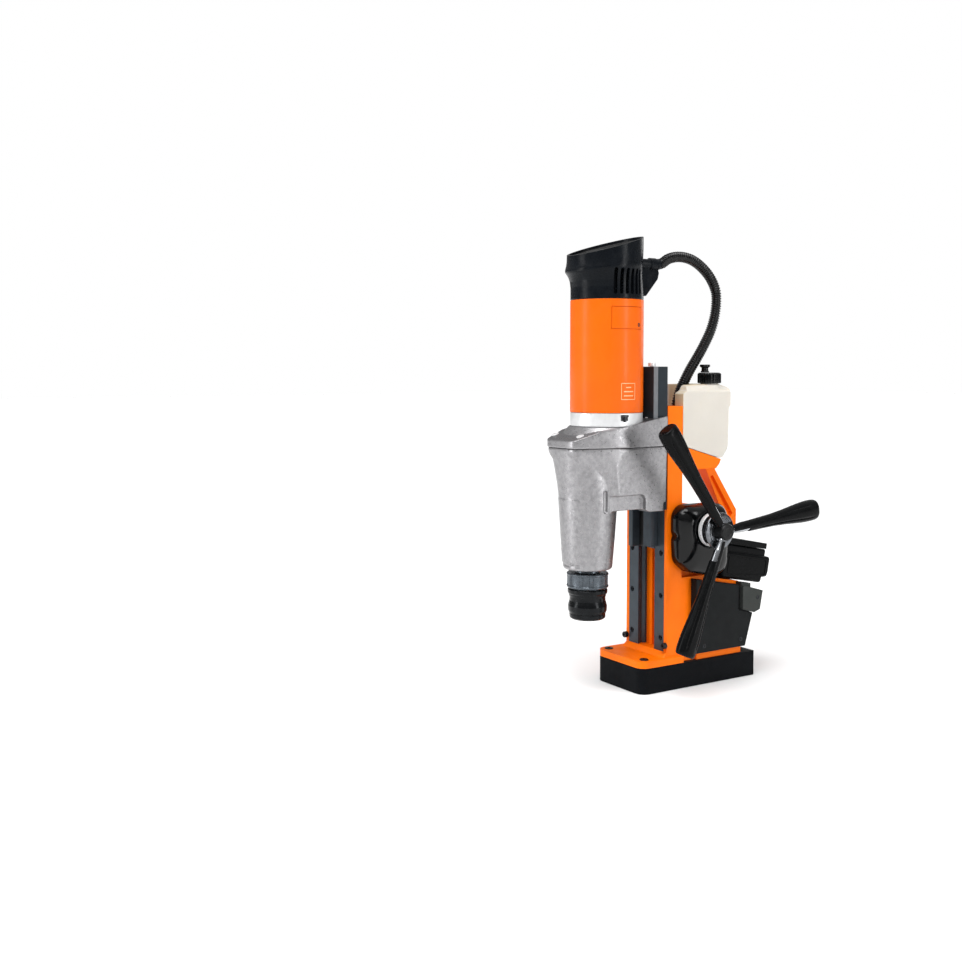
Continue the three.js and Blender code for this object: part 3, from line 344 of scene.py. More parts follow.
def loft_mesh(sections, close_ends=True):
    n = len(sections[0])
    v, f = [], []
    for s in sections:
        v.extend(s)
    for k in range(len(sections) - 1):
        for i in range(n):
            a, b = k * n + i, k * n + (i + 1) % n
            f.append((a, b, b + n, a + n))
    if close_ends:
        f.append(tuple(reversed(range(n))))
        f.append(tuple(range((len(sections) - 1) * n, len(sections) * n)))
    return v, f


def lathe(name, profile, n=64, axis="z", centre=(0, 0, 0), angle=35, radius=None):
    """Turned piece. profile is (radius, height) points, closed on itself or ending on the axis. radius(angle, r, h) may shape it."""
    closed = profile[0][0] > 1e-6 or profile[-1][0] > 1e-6
    prof = list(profile) + ([profile[0]] if closed else [])
    v, f = [], []
    m = len(prof)
    for i in range(n):
        t = 2 * math.pi * i / n
        for r, h in prof:
            rr = radius(t, r, h) if radius and r > 1e-6 else r
            x, y = rr * math.cos(t), rr * math.sin(t)
            p = {"z": (x, y, h), "x": (h, x, y), "y": (y, h, x)}[axis]
            v.append((p[0] + centre[0], p[1] + centre[1], p[2] + centre[2]))
    for i in range(n):
        j = (i + 1) % n
        for k in range(m - 1):
            q = (i * m + k, j * m + k, j * m + k + 1, i * m + k + 1)
            f.append(q)
    me = bpy.data.meshes.new(name)
    bm = bmesh.new()
    bv = [bm.verts.new((p[0] * MM, p[1] * MM, p[2] * MM)) for p in v]
    for q in f:
        try:
            bm.faces.new([bv[k] for k in q])
        except ValueError:
            pass
    bmesh.ops.remove_doubles(bm, verts=bm.verts, dist=2e-7)
    bmesh.ops.dissolve_degenerate(bm, dist=2e-7, edges=bm.edges)
    bmesh.ops.recalc_face_normals(bm, faces=bm.faces)
    bm.to_mesh(me)
    bm.free()
    shade(me, angle)
    ob = bpy.data.objects.new(name, me)
    scene.collection.objects.link(ob)
    return ob


def rounded(pts, r, k=4, closed=True):
    """The polygon with its corners rounded; r is one radius or one per corner."""
    n = len(pts)
    out = []
    for i, p in enumerate(pts):
        ri = r[i] if isinstance(r, (list, tuple)) else r
        if (not closed and i in (0, n - 1)) or ri <= 0:
            out.append(tuple(p))
            continue
        a, b, c = np.array(pts[i - 1], float), np.array(p, float), np.array(pts[(i + 1) % n], float)
        u, w = a - b, c - b
        lu, lw = np.linalg.norm(u), np.linalg.norm(w)
        if lu < 1e-6 or lw < 1e-6:
            continue
        u, w = u / lu, w / lw
        ang = math.acos(max(-1, min(1, float(u @ w))))
        if ang > math.radians(176):
            out.append(tuple(p))
            continue
        d = min(ri / math.tan(ang / 2), 0.46 * lu, 0.46 * lw)
        rr = d * math.tan(ang / 2)
        cdir = (u + w) / np.linalg.norm(u + w)
        cen = b + cdir * (rr / math.sin(ang / 2))
        s, e = b + u * d - cen, b + w * d - cen
        a0 = math.atan2(s[1], s[0])
        da = math.atan2(e[1], e[0]) - a0
        da = (da + math.pi) % (2 * math.pi) - math.pi
        for j in range(k + 1):
            t = a0 + da * j / k
            out.append((cen[0] + rr * math.cos(t), cen[1] + rr * math.sin(t)))
    return out


def prism(name, pts, lo, hi, axis="x"):
    """Prism over a polygon: (y, z) for axis x, (x, z) for axis y, (x, y) for axis z."""
    put = {"x": lambda p, t: (t, p[0], p[1]), "y": lambda p, t: (p[0], t, p[1]), "z": lambda p, t: (p[0], p[1], t)}[axis]
    v, f = loft_mesh([[put(p, lo) for p in pts], [put(p, hi) for p in pts]])
    return make(name, v, f)


def inset(pts, radii, d, k=6, step=2.5):
    """The polygon moved inwards by d, its corners rounded and its long sides divided. Each d gives the same number of points."""
    p = [np.array(q, float) for q in pts]
    n = len(p)
    area = sum(p[i][0] * p[(i + 1) % n][1] - p[(i + 1) % n][0] * p[i][1] for i in range(n))
    turn_ = 1.0 if area > 0 else -1.0
    def moved(dd):
        out, rr = [], []
        for i in range(n):
            a, b, c = p[i - 1], p[i], p[(i + 1) % n]
            u, w = (b - a) / np.linalg.norm(b - a), (c - b) / np.linalg.norm(c - b)
            nu, nw = np.array([-u[1], u[0]]) * turn_, np.array([-w[1], w[0]]) * turn_
            m = nu + nw
            out.append(b + m * (dd / max(0.2, float(m @ m) / 2)))
            convex = (u[0] * w[1] - u[1] * w[0]) * turn_ > 0
            rr.append(max(0.5, radii[i] - dd) if convex else radii[i] + dd)
        return rounded(out, rr, k)
    base, shape = moved(0.0), moved(d)
    out = []
    for i in range(len(base)):
        j = (i + 1) % len(base)
        m = max(1, int(math.hypot(base[j][0] - base[i][0], base[j][1] - base[i][1]) / step))
        for t in range(m):
            out.append((shape[i][0] + (shape[j][0] - shape[i][0]) * t / m, shape[i][1] + (shape[j][1] - shape[i][1]) * t / m))
    return out


def pillow(name, pts, radii, lo, hi, edge, axis="x", k=6, angle=40):
    """A prism whose two end faces have rounded edges."""
    put = {"x": lambda q, t: (t, q[0], q[1]), "y": lambda q, t: (q[0], t, q[1]), "z": lambda q, t: (q[0], q[1], t)}[axis]
    # the end sections are the most inset, the middle ones the full outline
    secs = []
    for i in range(7):
        a = i / 6 * math.pi / 2
        secs.append([put(q, lo + edge * (1 - math.cos(a))) for q in inset(pts, radii, edge * (1 - math.sin(a)), k)])
    for i in range(6, -1, -1):
        a = i / 6 * math.pi / 2
        secs.append([put(q, hi - edge * (1 - math.cos(a))) for q in inset(pts, radii, edge * (1 - math.sin(a)), k)])
    return make(name, *loft_mesh(secs), angle)


def block(x0, x1, y0, y1, z0, z1, name="cutter"):
    return prism(name, [(x0, y0), (x1, y0), (x1, y1), (x0, y1)], z0, z1, "z")


def frame_of(axis):
    a = Vector(axis).normalized()
    u = a.orthogonal().normalized()
    return a, u, a.cross(u)


def screw(name, node, base, axis, r, h, socket, body, mat="dark_steel", slot="dark_steel", shank=0.0, shank_r=0.0, dome=0.0):
    """Socket-head screw: base is the middle of the head's underside."""
    a, u, w = frame_of(axis)
    n = 36
    c = Vector(base)
    rings = []
    def ring(rad, d, hexed=False):
        pts = []
        for i in range(n):
            t = 2 * math.pi * i / n
            q = rad
            if hexed:
                q = rad * math.cos(math.pi / 6) / math.cos((t % (math.pi / 3)) - math.pi / 6)
            pts.append(tuple(c + a * d + (u * math.cos(t) + w * math.sin(t)) * q))
        rings.append(pts)
    if shank:
        ring(shank_r * 0.2, -shank)
        ring(shank_r * 0.8, -shank)
        ring(shank_r, -shank + 0.4)
        ring(shank_r, 0)
    ring(r - 0.15, 0)
    ring(r, 0.15)
    for k in range(5):
        t = k / 4 * math.pi / 2
        ring(r - 0.5 * (1 - math.cos(t)), h - dome - 0.5 + 0.5 * math.sin(t))
    ring(socket + 0.35, h)
    ring(socket + 0.05, h - 0.12, True)
    ring(socket, h - 0.3, True)
    ring(socket * 0.98, h - min(2.2, h * 0.6), True)
    ring(socket * 0.15, h - min(2.2, h * 0.6) - 0.3)
    v, f = loft_mesh(rings)
    ob = make(name, v, f, 40)
    return finish_piece(ob, body, mat, slot, *([node] if node else []))


def cad(node, mat, width=0.0, segments=2, angle=35):
    """Gives a CAD node its finish, and rounds its edges with modifiers."""
    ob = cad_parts[node]
    for s in ob.material_slots:
        s.material = M[mat]
    if not ob.material_slots:
        ob.data.materials.append(M[mat])
    if width:
        w = ob.modifiers.new("weld", "WELD")
        w.merge_threshold = 2e-6
        d = ob.modifiers.new("flat", "DECIMATE")
        d.decimate_type = "DISSOLVE"
        d.angle_limit = math.radians(1.0)
        b = ob.modifiers.new("bevel", "BEVEL")
        b.width, b.segments, b.limit_method = width * MM, segments, "ANGLE"
        b.angle_limit = math.radians(angle)
        b.use_clamp_overlap = True
        b.harden_normals = True
        n = ob.modifiers.new("normals", "WEIGHTED_NORMAL")
        n.keep_sharp = False
    return ob


# ================================================================ CAD nodes that keep their shape
cad("magnet_foot", "foot_coat", 0.9, 3)
cad("magnet_core", "steel")
cad("stand_column", "orange_paint", 1.1, 3)
cad("guide_rail_left", "rail_steel", 0.45, 2)
cad("guide_rail_right", "rail_steel", 0.45, 2)
cad("control_housing", "graphite_plastic", 1.2, 3)
cad("control_cover", "cover_grey", 1.6, 3)
seal = pillow("cover_seal", [(55.0, 79.3), (75.8, 75.4), (80.0, 77.9), (64.0, 83.3), (61.9, 90), (61.9, 108.6), (55.0, 109.4)], [0.6, 0.8, 1.5, 2.0, 2.0, 0.8, 0.6], 36.4, 42.7, 0.7)
finish_piece(seal, "stand", "graphite_plastic", "black_plastic")
cad("control_board", "board")
cad("control_panel", "graphite_plastic", 0.7, 2)
cad("magnet_button", "graphite_plastic", 0.9, 3)
cad("start_button", "green_plastic", 0.9, 3)
cad("stop_button", "red_plastic", 0.9, 3)
cad("tank_holder", "orange_paint", 1.2, 3)
cad("carry_handle", "orange_paint", 2.4, 4)
cad("battery_dock", "battery_plastic", 1.0, 3)
cad("battery_latch", "graphite_plastic", 0.8, 3)
cad("carriage", "rail_steel", 0.45, 2)
cad("gear_rack", "steel")
cad("motor_slide", "slide_alu", 0.6, 2)
cad("motor_stator", "steel")
cad("motor_rotor", "steel")
cad("idler_gear", "steel")
cad("spindle_shaft", "steel")
cad("spindle_bearing", "bright_metal")

# ================================================================ screws
for side, sx in (("left", -1), ("right", 1)):
    for i, z in enumerate((57.8, 106.8, 156)):
        screw(f"rail_screw_fine_{side}_{i + 1}", f"rail_screw_{side}_{i + 1}", (sx * 25.4, -40.8, z), (0, -1, 0), 3.0, 3.6, 1.4, "stand", shank=7.6, shank_r=1.6)
    screw(f"stop_screw_fine_{side}", f"stop_screw_{side}", (sx * 34.6, -46.3, 50.5), (0, -1, 0), 3.6, 4.7, 1.7, "stand", shank=0.2, shank_r=0.9)
    screw(f"foot_screw_fine_{side}", f"foot_screw_{side}", (sx * 32, -75.5, 33.5), (0, 0, 1), 5.0, 5.1, 2.3, "stand", shank=3.4, shank_r=3.0)
screw("slide_clamp_screw_fine", "slide_clamp_screw", (23, -59.5, 370.3), (0, 0, 1), 4.2, 4.0, 1.9, "motor_carriage", "ring_silver", "bright_metal", shank=18, shank_r=1.9)

# ================================================================ feed housing
FEED = (-2.5, 184.5)
DRUM = [(-41.8, 212.5), (27, 212.5), (34.5, 192), (34.5, 130), (8, 128.2), (-24, 135), (-40.0, 148), (-41.7, 177)]
DRUM_R = [20, 18, 12, 13, 20, 14, 16, 8]
def notched(x, pts):
    """A groove across the side that faces the spindle, fading out towards the front."""
    out = []
    for y, z in pts:
        if y < -26:
            y += 1.9 * math.exp(-(((z - 177.2) / 3.2) ** 2)) * max(0.0, min(1.0, (55.0 - x) / 12.0)) * min(1.0, (-26 - y) / 8)
        out.append((x, y, z))
    return out
def drum_ring(x, d):
    return notched(x, inset(DRUM, DRUM_R, d, 10, 1.3))
angles = [math.atan2(q[2] - FEED[1], q[1] - FEED[0]) for q in drum_ring(36.5, 0.1)]
def circle_ring(x, q):
    return [(x, FEED[0] + q * math.cos(a), FEED[1] + q * math.sin(a)) for a in angles]
sections = [circle_ring(36.5, 12.6), drum_ring(36.5, 0.8), drum_ring(37.1, 0.1)] + [drum_ring(x, 0.1) for x in (39, 41, 43, 44.5)]
def between(x, t, u):
    out = []
    for (x0, y0, z0), (x1, y1, z1) in zip(drum_ring(x, 0.1 + 2.0 * t), circle_ring(x, 22.0)):
        out.append((x, y0 + (y1 - y0) * u, z0 + (z1 - z0) * u))
    return out
for k in range(1, 19):
    a = k / 18 * math.pi / 2
    sections.append(between(44.5 + 15.3 * math.sin(a) ** 1.0, 1 - math.cos(a), (1 - math.cos(a)) ** 1.15))
sections += [circle_ring(59.85, 22.0), circle_ring(59.7, 21.2), circle_ring(59.2, 20.8), circle_ring(59.2, 12.6)]
v, f = loft_mesh(sections, False)
DN = len(angles)
last = (len(sections) - 1) * DN
f += [(last + i, last + (i + 1) % DN, (i + 1) % DN, i) for i in range(DN)]
ob = make("feed_housing_fine", v, f, 60)
finish_piece(ob, "stand", "black_plastic", "black_plastic", "feed_housing")

ob = lathe("feed_ring_fine", rounded([(12.8, 60.3), (19.3, 60.3), (19.3, 65.9), (12.8, 65.9)], [0.3, 0.8, 0.8, 0.6], 4), 96, "x", (0, FEED[0], FEED[1]))
finish_piece(ob, "stand", "ring_silver", "bright_metal", "feed_ring")
ob = lathe("side_cap_fine", rounded([(0, -33), (8, -33), (8.6, -32.4), (13.5, -32.4), (14, -33), (19, -33), (19, -26.3), (0, -26.3)], [0, 0.3, 0.3, 0.3, 0.3, 1.6, 0.2, 0], 4, False), 96, "x", (0, FEED[0], FEED[1]))
finish_piece(ob, "stand", "battery_plastic", "black_plastic", "side_cap")

# ================================================================ feed shaft, hub and levers
hub = [
    (0, -25.5), (8, -25.5), (8, 66.2), (18.6, 66.2), (19.3, 67.0), (21.2, 75), (20.6, 76.4), (16.4, 76.9), (16.0, 76.3), (14.8, 76.3), (14.4, 76.9), (0, 76.9),
]
ob = lathe("feed_hub_fine", rounded(hub, [0, 0.6, 0.3, 0.5, 0.6, 1.0, 0.8, 0.3, 0.2, 0.2, 0.3, 0], 5, False), 128, "x", (0, FEED[0], FEED[1]))
finish_piece(ob, "feed_lever", "hub_metal", "dark_steel", "feed_shaft_hub")
ob = lathe("hub_knob_fine", rounded([(0, 76.4), (9.9, 76.4), (9.6, 77.8), (9.6, 87.4), (8.2, 89.2), (4.6, 89.5), (4.1, 88.7), (0, 88.7)], [0, 0.8, 0.8, 1.4, 1.4, 0.3, 0.3, 0], 5, False), 120, "x", (0, FEED[0], FEED[1]),
           radius=lambda t, r, h: r - (0.35 * abs(math.sin(9 * t)) ** 4 if r > 9 and 78.5 < h < 87 else 0))
finish_piece(ob, "feed_lever", "knob_black", "dark_steel")
for k in range(3):
    a = math.radians(178 + 120 * k)
    d = (0, math.cos(a), math.sin(a))
    screw(f"hub_pin_{k + 1}", None, (71.8, FEED[0] + 19.6 * d[1], FEED[1] + 19.6 * d[2]), d, 2.4, 1.0, 1.7, "feed_lever", "dark_steel", "dark_steel")
for k in range(3):
    a = math.radians(225 + 120 * k)
    d = Vector((0, math.cos(a), math.sin(a)))
    prof = [(0.01, 0), (1.9, 0), (1.8, 0.5), (1.5, 0.95), (0.9, 1.3), (0.01, 1.4)]
    a3, u3, w3 = frame_of(d)
    c3 = Vector((72.6, FEED[0], FEED[1])) + d * 19.9
    secs = [[tuple(c3 + a3 * h + (u3 * math.cos(2 * math.pi * i / 24) + w3 * math.sin(2 * math.pi * i / 24)) * q) for i in range(24)] for q, h in prof]
    finish_piece(make(f"hub_detent_{k + 1}", *loft_mesh(secs), 60), "feed_lever", "ring_silver", "chrome")

LEVER_X = 83.0
form = [
    (10.6, 4.2, 3.9), (11.3, 4.8, 4.5), (24.0, 6.0, 5.35), (27.0, 6.3, 5.5), (37, 6.3, 5.6), (56, 6.8, 6.1), (74, 7.4, 6.5), (94, 9.0, 7.3), (104, 10.1, 7.85), (112, 11.0, 8.3),
    (120, 11.8, 8.75), (127, 12.3, 9.05), (133, 12.5, 9.15), (138, 12.45, 9.15), (142, 12.2, 9.0), (144.0, 11.8, 8.7), (145.2, 11.2, 8.2), (145.9, 10.4, 7.5), (146.1, 9.8, 7.0), (145.7, 9.2, 6.5),
    (145.6, 4.0, 2.8),
]
fr = np.array(form)


def grip_sections():
    out = []
    rise = fr[:18]
    stops = [(s, np.interp(s, rise[:, 0], rise[:, 1]), np.interp(s, rise[:, 0], rise[:, 2])) for s in np.concatenate([[10.6, 10.9, 11.3, 13, 16, 20, 24, 27], np.linspace(30, 138, 66), [140, 142, 143.2, 144.0, 144.7, 145.2, 145.6, 145.9]])]
    stops += [tuple(q) for q in fr[18:]]
    for s, w, th in stops:
        ring = []
        n = 72
        for i in range(n):
            u = 2 * math.pi * i / n
            c, sn = math.cos(u), math.sin(u)
            e = 0.90
            x = th * math.copysign(abs(c) ** e, c)
            y = w * math.copysign(abs(sn) ** e, sn)
            # two fine channels along each broad side, closing towards the end of the grip
            along = min(1, max(0, (s - 42) / 20)) * min(1, max(0, (141 - s) / 8))
            k = y / w
            spread = 0.52
            g = math.exp(-((abs(k) - spread) / 0.085) ** 2)
            x -= math.copysign(1.05 * along * g, c) if abs(c) > 0.2 else 0
            ring.append((x, y, s))
        out.append(ring)
    return out


for k in range(3):
    ang = math.radians(126.4 - 120 * k)
    # grip axis: from +Z turned about X by (angle - 90)
    a = ang - math.pi / 2
    def place(p, a=a):
        x, y, z = p
        return (LEVER_X + x, FEED[0] + y * math.cos(a) - z * math.sin(a), FEED[1] + y * math.sin(a) + z * math.cos(a))
    v, f = loft_mesh([[place(p) for p in s] for s in grip_sections()])
    ob = make(f"lever_grip_fine_{k + 1}", v, f, 60)
    # the root of the grip is open along one side, where the polished rod shows
    open_ = rounded([(1.7, 5), (9, 5), (9, 36.5), (1.7, 36.5)], [0, 0, 0, 3.0], 6)
    boolean(ob, [make("open", *loft_mesh([[place((x, y, z)) for y, z in open_] for x in (-9, 9)]))])
    finish_piece(ob, "feed_lever", "grip_plastic", "black_plastic", f"lever_grip_{k + 1}")
    prof = rounded([(0, 8.8), (3.2, 8.8), (3.3, 10.4), (4.2, 10.6), (4.2, 12.0), (3.6, 12.4), (5.0, 23), (5.1, 37.4), (0, 37.4)], [0, 0.3, 0.1, 0.3, 0.3, 0.3, 3.0, 0.4, 0], 4, False)
    n = 48
    secs = []
    for rr, h in prof:
        secs.append([place((max(rr, 0.01) * math.cos(2 * math.pi * i / n), max(rr, 0.01) * math.sin(2 * math.pi * i / n), h)) for i in range(n)])
    v, f = loft_mesh(secs)
    ob = make(f"lever_rod_fine_{k + 1}", v, f, 40)
    finish_piece(ob, "feed_lever", "dark_chrome", "chrome", f"lever_rod_{k + 1}")

# ================================================================ control housing screws
for k, (x, y, z) in enumerate(((46.0, 3.0, 46.0), (46.0, 60.5, 47.5), (46.0, 2.5, 113.5))):
    screw(f"control_screw_{k + 1}", None, (x - 0.6, y, z), (1, 0, 0), 2.5, 1.1, 1.1, "stand")
screw("cover_screw", None, (47.9, 85.5, 95.0), (1, 0, 0), 2.5, 1.1, 1.1, "stand")

# ================================================================ coolant tank, cap and nozzle
side_view = rounded(
    [(-23.3, 279.5), (37.2, 262.3), (46.5, 275.5), (47.5, 322), (50.2, 324.4), (50.2, 344), (47.0, 346.6), (37, 349.8), (-13, 348.9), (-17.5, 342), (-23.3, 339.6)],
    [2, 7, 12, 3, 3, 4, 4, 6, 6, 5, 2.5], 6,
)
tank = prism("coolant_tank_fine", side_view, -35.9, 35.9)
across = rounded([(-35.9, 200), (35.9, 200), (35.9, 341.5), (29, 348), (21, 351), (-21, 351), (-29, 348), (-35.9, 341.5)], [0, 0, 4, 10, 14, 14, 10, 4], 8)
boolean(tank, [prism("across", across, -60, 60, "y")], "INTERSECT")
tongue = prism("tongue", rounded([(-18.9, 254.9), (26.6, 254.9), (30.9, 259.5), (33.2, 270), (36, 300), (-18.9, 300)], [1, 3, 3, 3, 0, 0], 5), -31.9, 31.9)
boolean(tank, [tongue], "UNION")
channel = prism("channel", rounded([(-18.9, -60), (21.5, -60), (21.5, 1.5), (-18.9, 1.5)], [0, 0, 3.5, 3.5], 6), 240, 400, "z")
notch = prism("notch", rounded([(-0.5, -5), (19.2, -5), (19.2, 11.5), (-0.5, 11.5)], [0, 0, 4, 4], 6), 318, 400, "z")
boolean(channel, [notch], "UNION")
boolean(tank, [channel])
bevel(tank, 1.5, 4, 34)
boolean(tank, [lathe("neck", [(0, 343), (12.6, 343), (12.6, 348.2), (11.6, 349.4), (10.3, 349.8), (10.3, 357.3), (0, 357.3)], 72, "z", (21, 30, 0))], "UNION")
finish_piece(tank, "stand", "tank_plastic", "tank_plastic", "coolant_tank")
cap_prof = rounded([(0, 350.5), (12.9, 350.5), (13.2, 351.3), (13.2, 361.4), (12.2, 362.9), (10.4, 363.1), (9.8, 362.6), (0, 362.6)], [0, 0.4, 0.5, 1.0, 0.6, 0.3, 0.3, 0], 4, False)
def ribs(t, r, h):
    if r > 12.8 and 351.2 < h < 362.0:
        return r + 0.55 * max(0.0, math.cos(34 * t)) ** 0.6
    return r
ob = lathe("tank_cap_fine", cap_prof, 272, "z", (21, 30, 0), 30, ribs)
finish_piece(ob, "tank_cap", "black_plastic", "black_plastic", "tank_cap")
ob = lathe("tank_nozzle_fine", rounded([(0, 363.3), (4.9, 363.3), (4.9, 364.6), (4.0, 365.4), (4.0, 368.6), (6.1, 370.0), (6.1, 371.6), (5.3, 372.5), (1.6, 372.5), (1.4, 371.4), (0, 371.4)], [0, 0.3, 0.4, 0.5, 0.9, 0.5, 0.5, 0.3, 0.2, 0.2, 0], 4, False), 72, "z", (21, 23, 0))
finish_piece(ob, "tank_nozzle", "black_plastic", "black_plastic", "tank_nozzle")

# ================================================================ battery
def dock(u, n):
    return (46 + 0.98294 * u + 0.18395 * n, 161.2 - 0.18395 * u + 0.98294 * n)
body_pts = [dock(*q) for q in [(0.1, -8.6), (76.7, -8.6), (76.7, -26), (75.2, -33), (67, -34.5), (66, -41.1), (2, -41.1), (0.1, -37)]]
bat = pillow("battery_pack_fine", body_pts, [3, 3.5, 4, 3, 2, 3, 3, 3], -35.9, 35.9, 3.4)
slab = pillow("slab", [dock(*q) for q in [(1.0, -0.4), (71.5, -0.4), (71.5, -12), (1.0, -12)]], [1.5, 2.2, 2.2, 1.5], -31.5, 31.5, 2.2)
boolean(bat, [slab], "UNION")
cuts = [prism("top_groove", [dock(*q) for q in [(-3, -6), (80, -6), (80, 3), (-3, 3)]], -12.5, 12.5),
        prism("latch_pocket", [dock(*q) for q in rounded([(70, -26.4), (80, -26.4), (80, -13.6), (70, -13.6)], [1, 0, 0, 1], 3)], -8.4, 8.4)]
for sx in (1, -1):
    x0, x1 = (35.3, 37) if sx > 0 else (-37, -35.3)
    ring_o = prism("frame", [dock(*q) for q in rounded([(7, -36.2), (70, -31.5), (70, -13.0), (7, -13.0)], 3.0, 5)], x0, x1)
    ring_i = prism("frame_in", [dock(*q) for q in rounded([(8.2, -34.9), (68.8, -30.4), (68.8, -14.2), (8.2, -14.2)], 2.2, 5)], x0 - 1, x1 + 1)
    boolean(ring_o, [ring_i])
    cuts.append(ring_o)
for k in range(3):
    cuts.append(prism("end_rib", [dock(*q) for q in [(76.0, -13 - 5.5 * k), (78, -13 - 5.5 * k), (78, -11.4 - 5.5 * k), (76.0, -11.4 - 5.5 * k)]], 14, 31))
    cuts.append(prism("end_rib", [dock(*q) for q in [(76.0, -13 - 5.5 * k), (78, -13 - 5.5 * k), (78, -11.4 - 5.5 * k), (76.0, -11.4 - 5.5 * k)]], -31, -14))
boolean(bat, cuts)
finish_piece(bat, "battery", "battery_plastic", "black_plastic", "battery_pack")

# ================================================================ gearbox
half0 = [
    (0, -172), (10, -171.9), (19, -171.3), (25.5, -168.5), (29.5, -160), (33.5, -147), (37.5, -133), (40.6, -119), (41.8, -106),
    (41.2, -90), (40.4, -75), (40, -62), (40, -50.3),
]
def mirrored(h):
    return list(h) + [(-x, y) for x, y in reversed(h[1:])]
def smooth_half(h, per=6):
    p = [np.array(q, float) for q in h]
    p = [2 * p[0] - p[1] if p[0][0] else np.array((-p[1][0], p[1][1]))] + p + [2 * p[-1] - p[-2]]
    out = []
    for i in range(1, len(p) - 2):
        a, b, c, d = p[i - 1 : i + 3]
        for t in np.linspace(0, 1, per, endpoint=False):
            out.append(tuple(0.5 * ((2 * b) + (c - a) * t + (2 * a - 5 * b + 4 * c - d) * t * t + (3 * b - a - 3 * c + d) * t ** 3)))
    out.append(tuple(p[-2]))
    return [(max(0, x), y) for x, y in out]
fineH = smooth_half(half0)
SP, MO = -132.0, -106.5
NS = [
    (142.9, 25.4, 25.4, 25.4, 0), (143.8, 26.9, 26.9, 26.9, 0), (145.2, 27.7, 27.7, 27.7, 0), (160, 28.9, 28.9, 28.9, 0), (175, 30.1, 30.1, 30.1, 0), (192, 31.3, 31.3, 31.3, 0), (209, 32.4, 32.4, 32.4, 0),
    (220, 32.7, 32.9, 32.7, 0.02), (229, 32.8, 33.4, 32.8, 0.08), (237, 32.9, 34.2, 32.8, 0.16), (244, 33, 35.2, 32.8, 0.26), (250, 32.7, 36.1, 32.3, 0.37), (256, 32.2, 37, 31.6, 0.5), (262, 31.6, 37.9, 31.1, 0.65),
    (267, 31, 38.8, 30.5, 0.78), (273, 29.8, 39.7, 29.7, 0.92), (279.7, 28.5, 40.4, 29, 1),
]
secs = []
N = 192
NA = np.array(NS, float)
levels = sorted(set([q[0] for q in NS]) | {146.6, 148.0, 216.6, 217.4, 218.0, 218.6, 219.2, 219.8})
PANEL = math.radians(-52.6)
for z in levels:
    rx, fr_, re_, sq = (float(np.interp(z, NA[:, 0], NA[:, c])) for c in (1, 2, 3, 4))
    ring = []
    if z >= 219.8 or z <= 146.6:
        drop = 0.0
    elif z >= 218.0:
        drop = 1.7 if z < 219.0 else 0.6
    else:
        drop = 0.85
    for i in range(N):
        a = -math.pi / 2 + 2 * math.pi * i / N
        c, s = math.cos(a), math.sin(a)
        e = 1 - 0.38 * sq
        q = drop if s < 0 and abs(c) < math.cos(PANEL) + 0.001 else 0.0
        ring.append(((rx - q) * math.copysign(abs(c) ** e, c), SP + ((fr_ if s < 0 else re_) - q) * math.copysign(abs(s) ** e, s), z))
    secs.append(ring)
nose = make("gearbox_fine", *loft_mesh(secs))
lv = []
for z, kx, cap_, sy in ((209.6, 1, 38.4, 0.32), (229, 1, 38.7, 0.46), (244, 1, 39.0, 0.6), (260, 1, 39.6, 0.82), (272, 0.995, 40.9, 0.97), (276.5, 0.99, 42, 1.0), (279.75, 0.985, 42, 1.0)):
    lv.append([(x, y, z) for x, y in mirrored([(min(x, cap_) * kx, -110 + (y + 110) * sy if y < -110 else y) for x, y in fineH])])
upper = make("upper", *loft_mesh(lv))
lobe = prism("lobe", rounded([(-92, 218), (-92, 209.5), (-80, 209.5), (-74, 206.5), (-53, 206.5), (-50.3, 209.5), (-50.3, 218)], [0, 2, 2, 2, 2, 1, 0], 4), -38.4, 38.4)
pad = []
for z in (150, 222.6):
    q = np.interp(z, [n_[0] for n_ in NS], [n_[1] for n_ in NS])
    ring = [((q + 0.75) * math.cos(math.radians(a)), SP + (q + 0.75) * math.sin(math.radians(a)), z) for a in np.linspace(-126, -54, 37)]
    ring += [((q - 3) * math.cos(math.radians(a)), SP + (q - 3) * math.sin(math.radians(a)), z) for a in np.linspace(-54, -126, 37)]
    pad.append(ring)
pad = make("pad", *loft_mesh(pad))
boolean(nose, [upper, lobe, pad], "UNION")
cutters = [
    block(-36.3, 36.3, -65.1, -40, 190, 300),
    block(-20, 20, -103, -66, 196, 240),
    block(36.2, 50, -53.6, -40, 200, 216.5),
    block(-50, -36.2, -53.6, -40, 200, 216.5),
]
for s in (1, -1):
    arch = rounded([(-128, 196), (-79.8, 196), (-79.8, 226.6), (-128, 226.6)], [0, 0, 6.0, 2], 7)
    cutters.append(prism("arch", arch, *((32.3, 60) if s > 0 else (-60, -32.3))))
    slot = [(-134.4, 208.4), (-129.4, 208.4), (-129.4, 232.6), (-134.4, 232.6)]
    cutters.append(prism("slot", rounded(slot, 2.4, 6), *((29.6, 60) if s > 0 else (-60, -29.6))))
cutters.append(lathe("bore", [(0, 135), (16.3, 135), (16.3, 252), (0, 252)], 64, "z", (0, SP, 0)))
boolean(nose, cutters)
rm = nose.modifiers.new("remesh", "REMESH")
rm.mode, rm.voxel_size = "VOXEL", 0.00075
sm = nose.modifiers.new("smooth", "SMOOTH")
sm.factor, sm.iterations = 0.5, 7
bake(nose, 80)
gearbox = finish_piece(nose, "motor_carriage", "cast_alu", "cast_alu", "gearbox_housing")

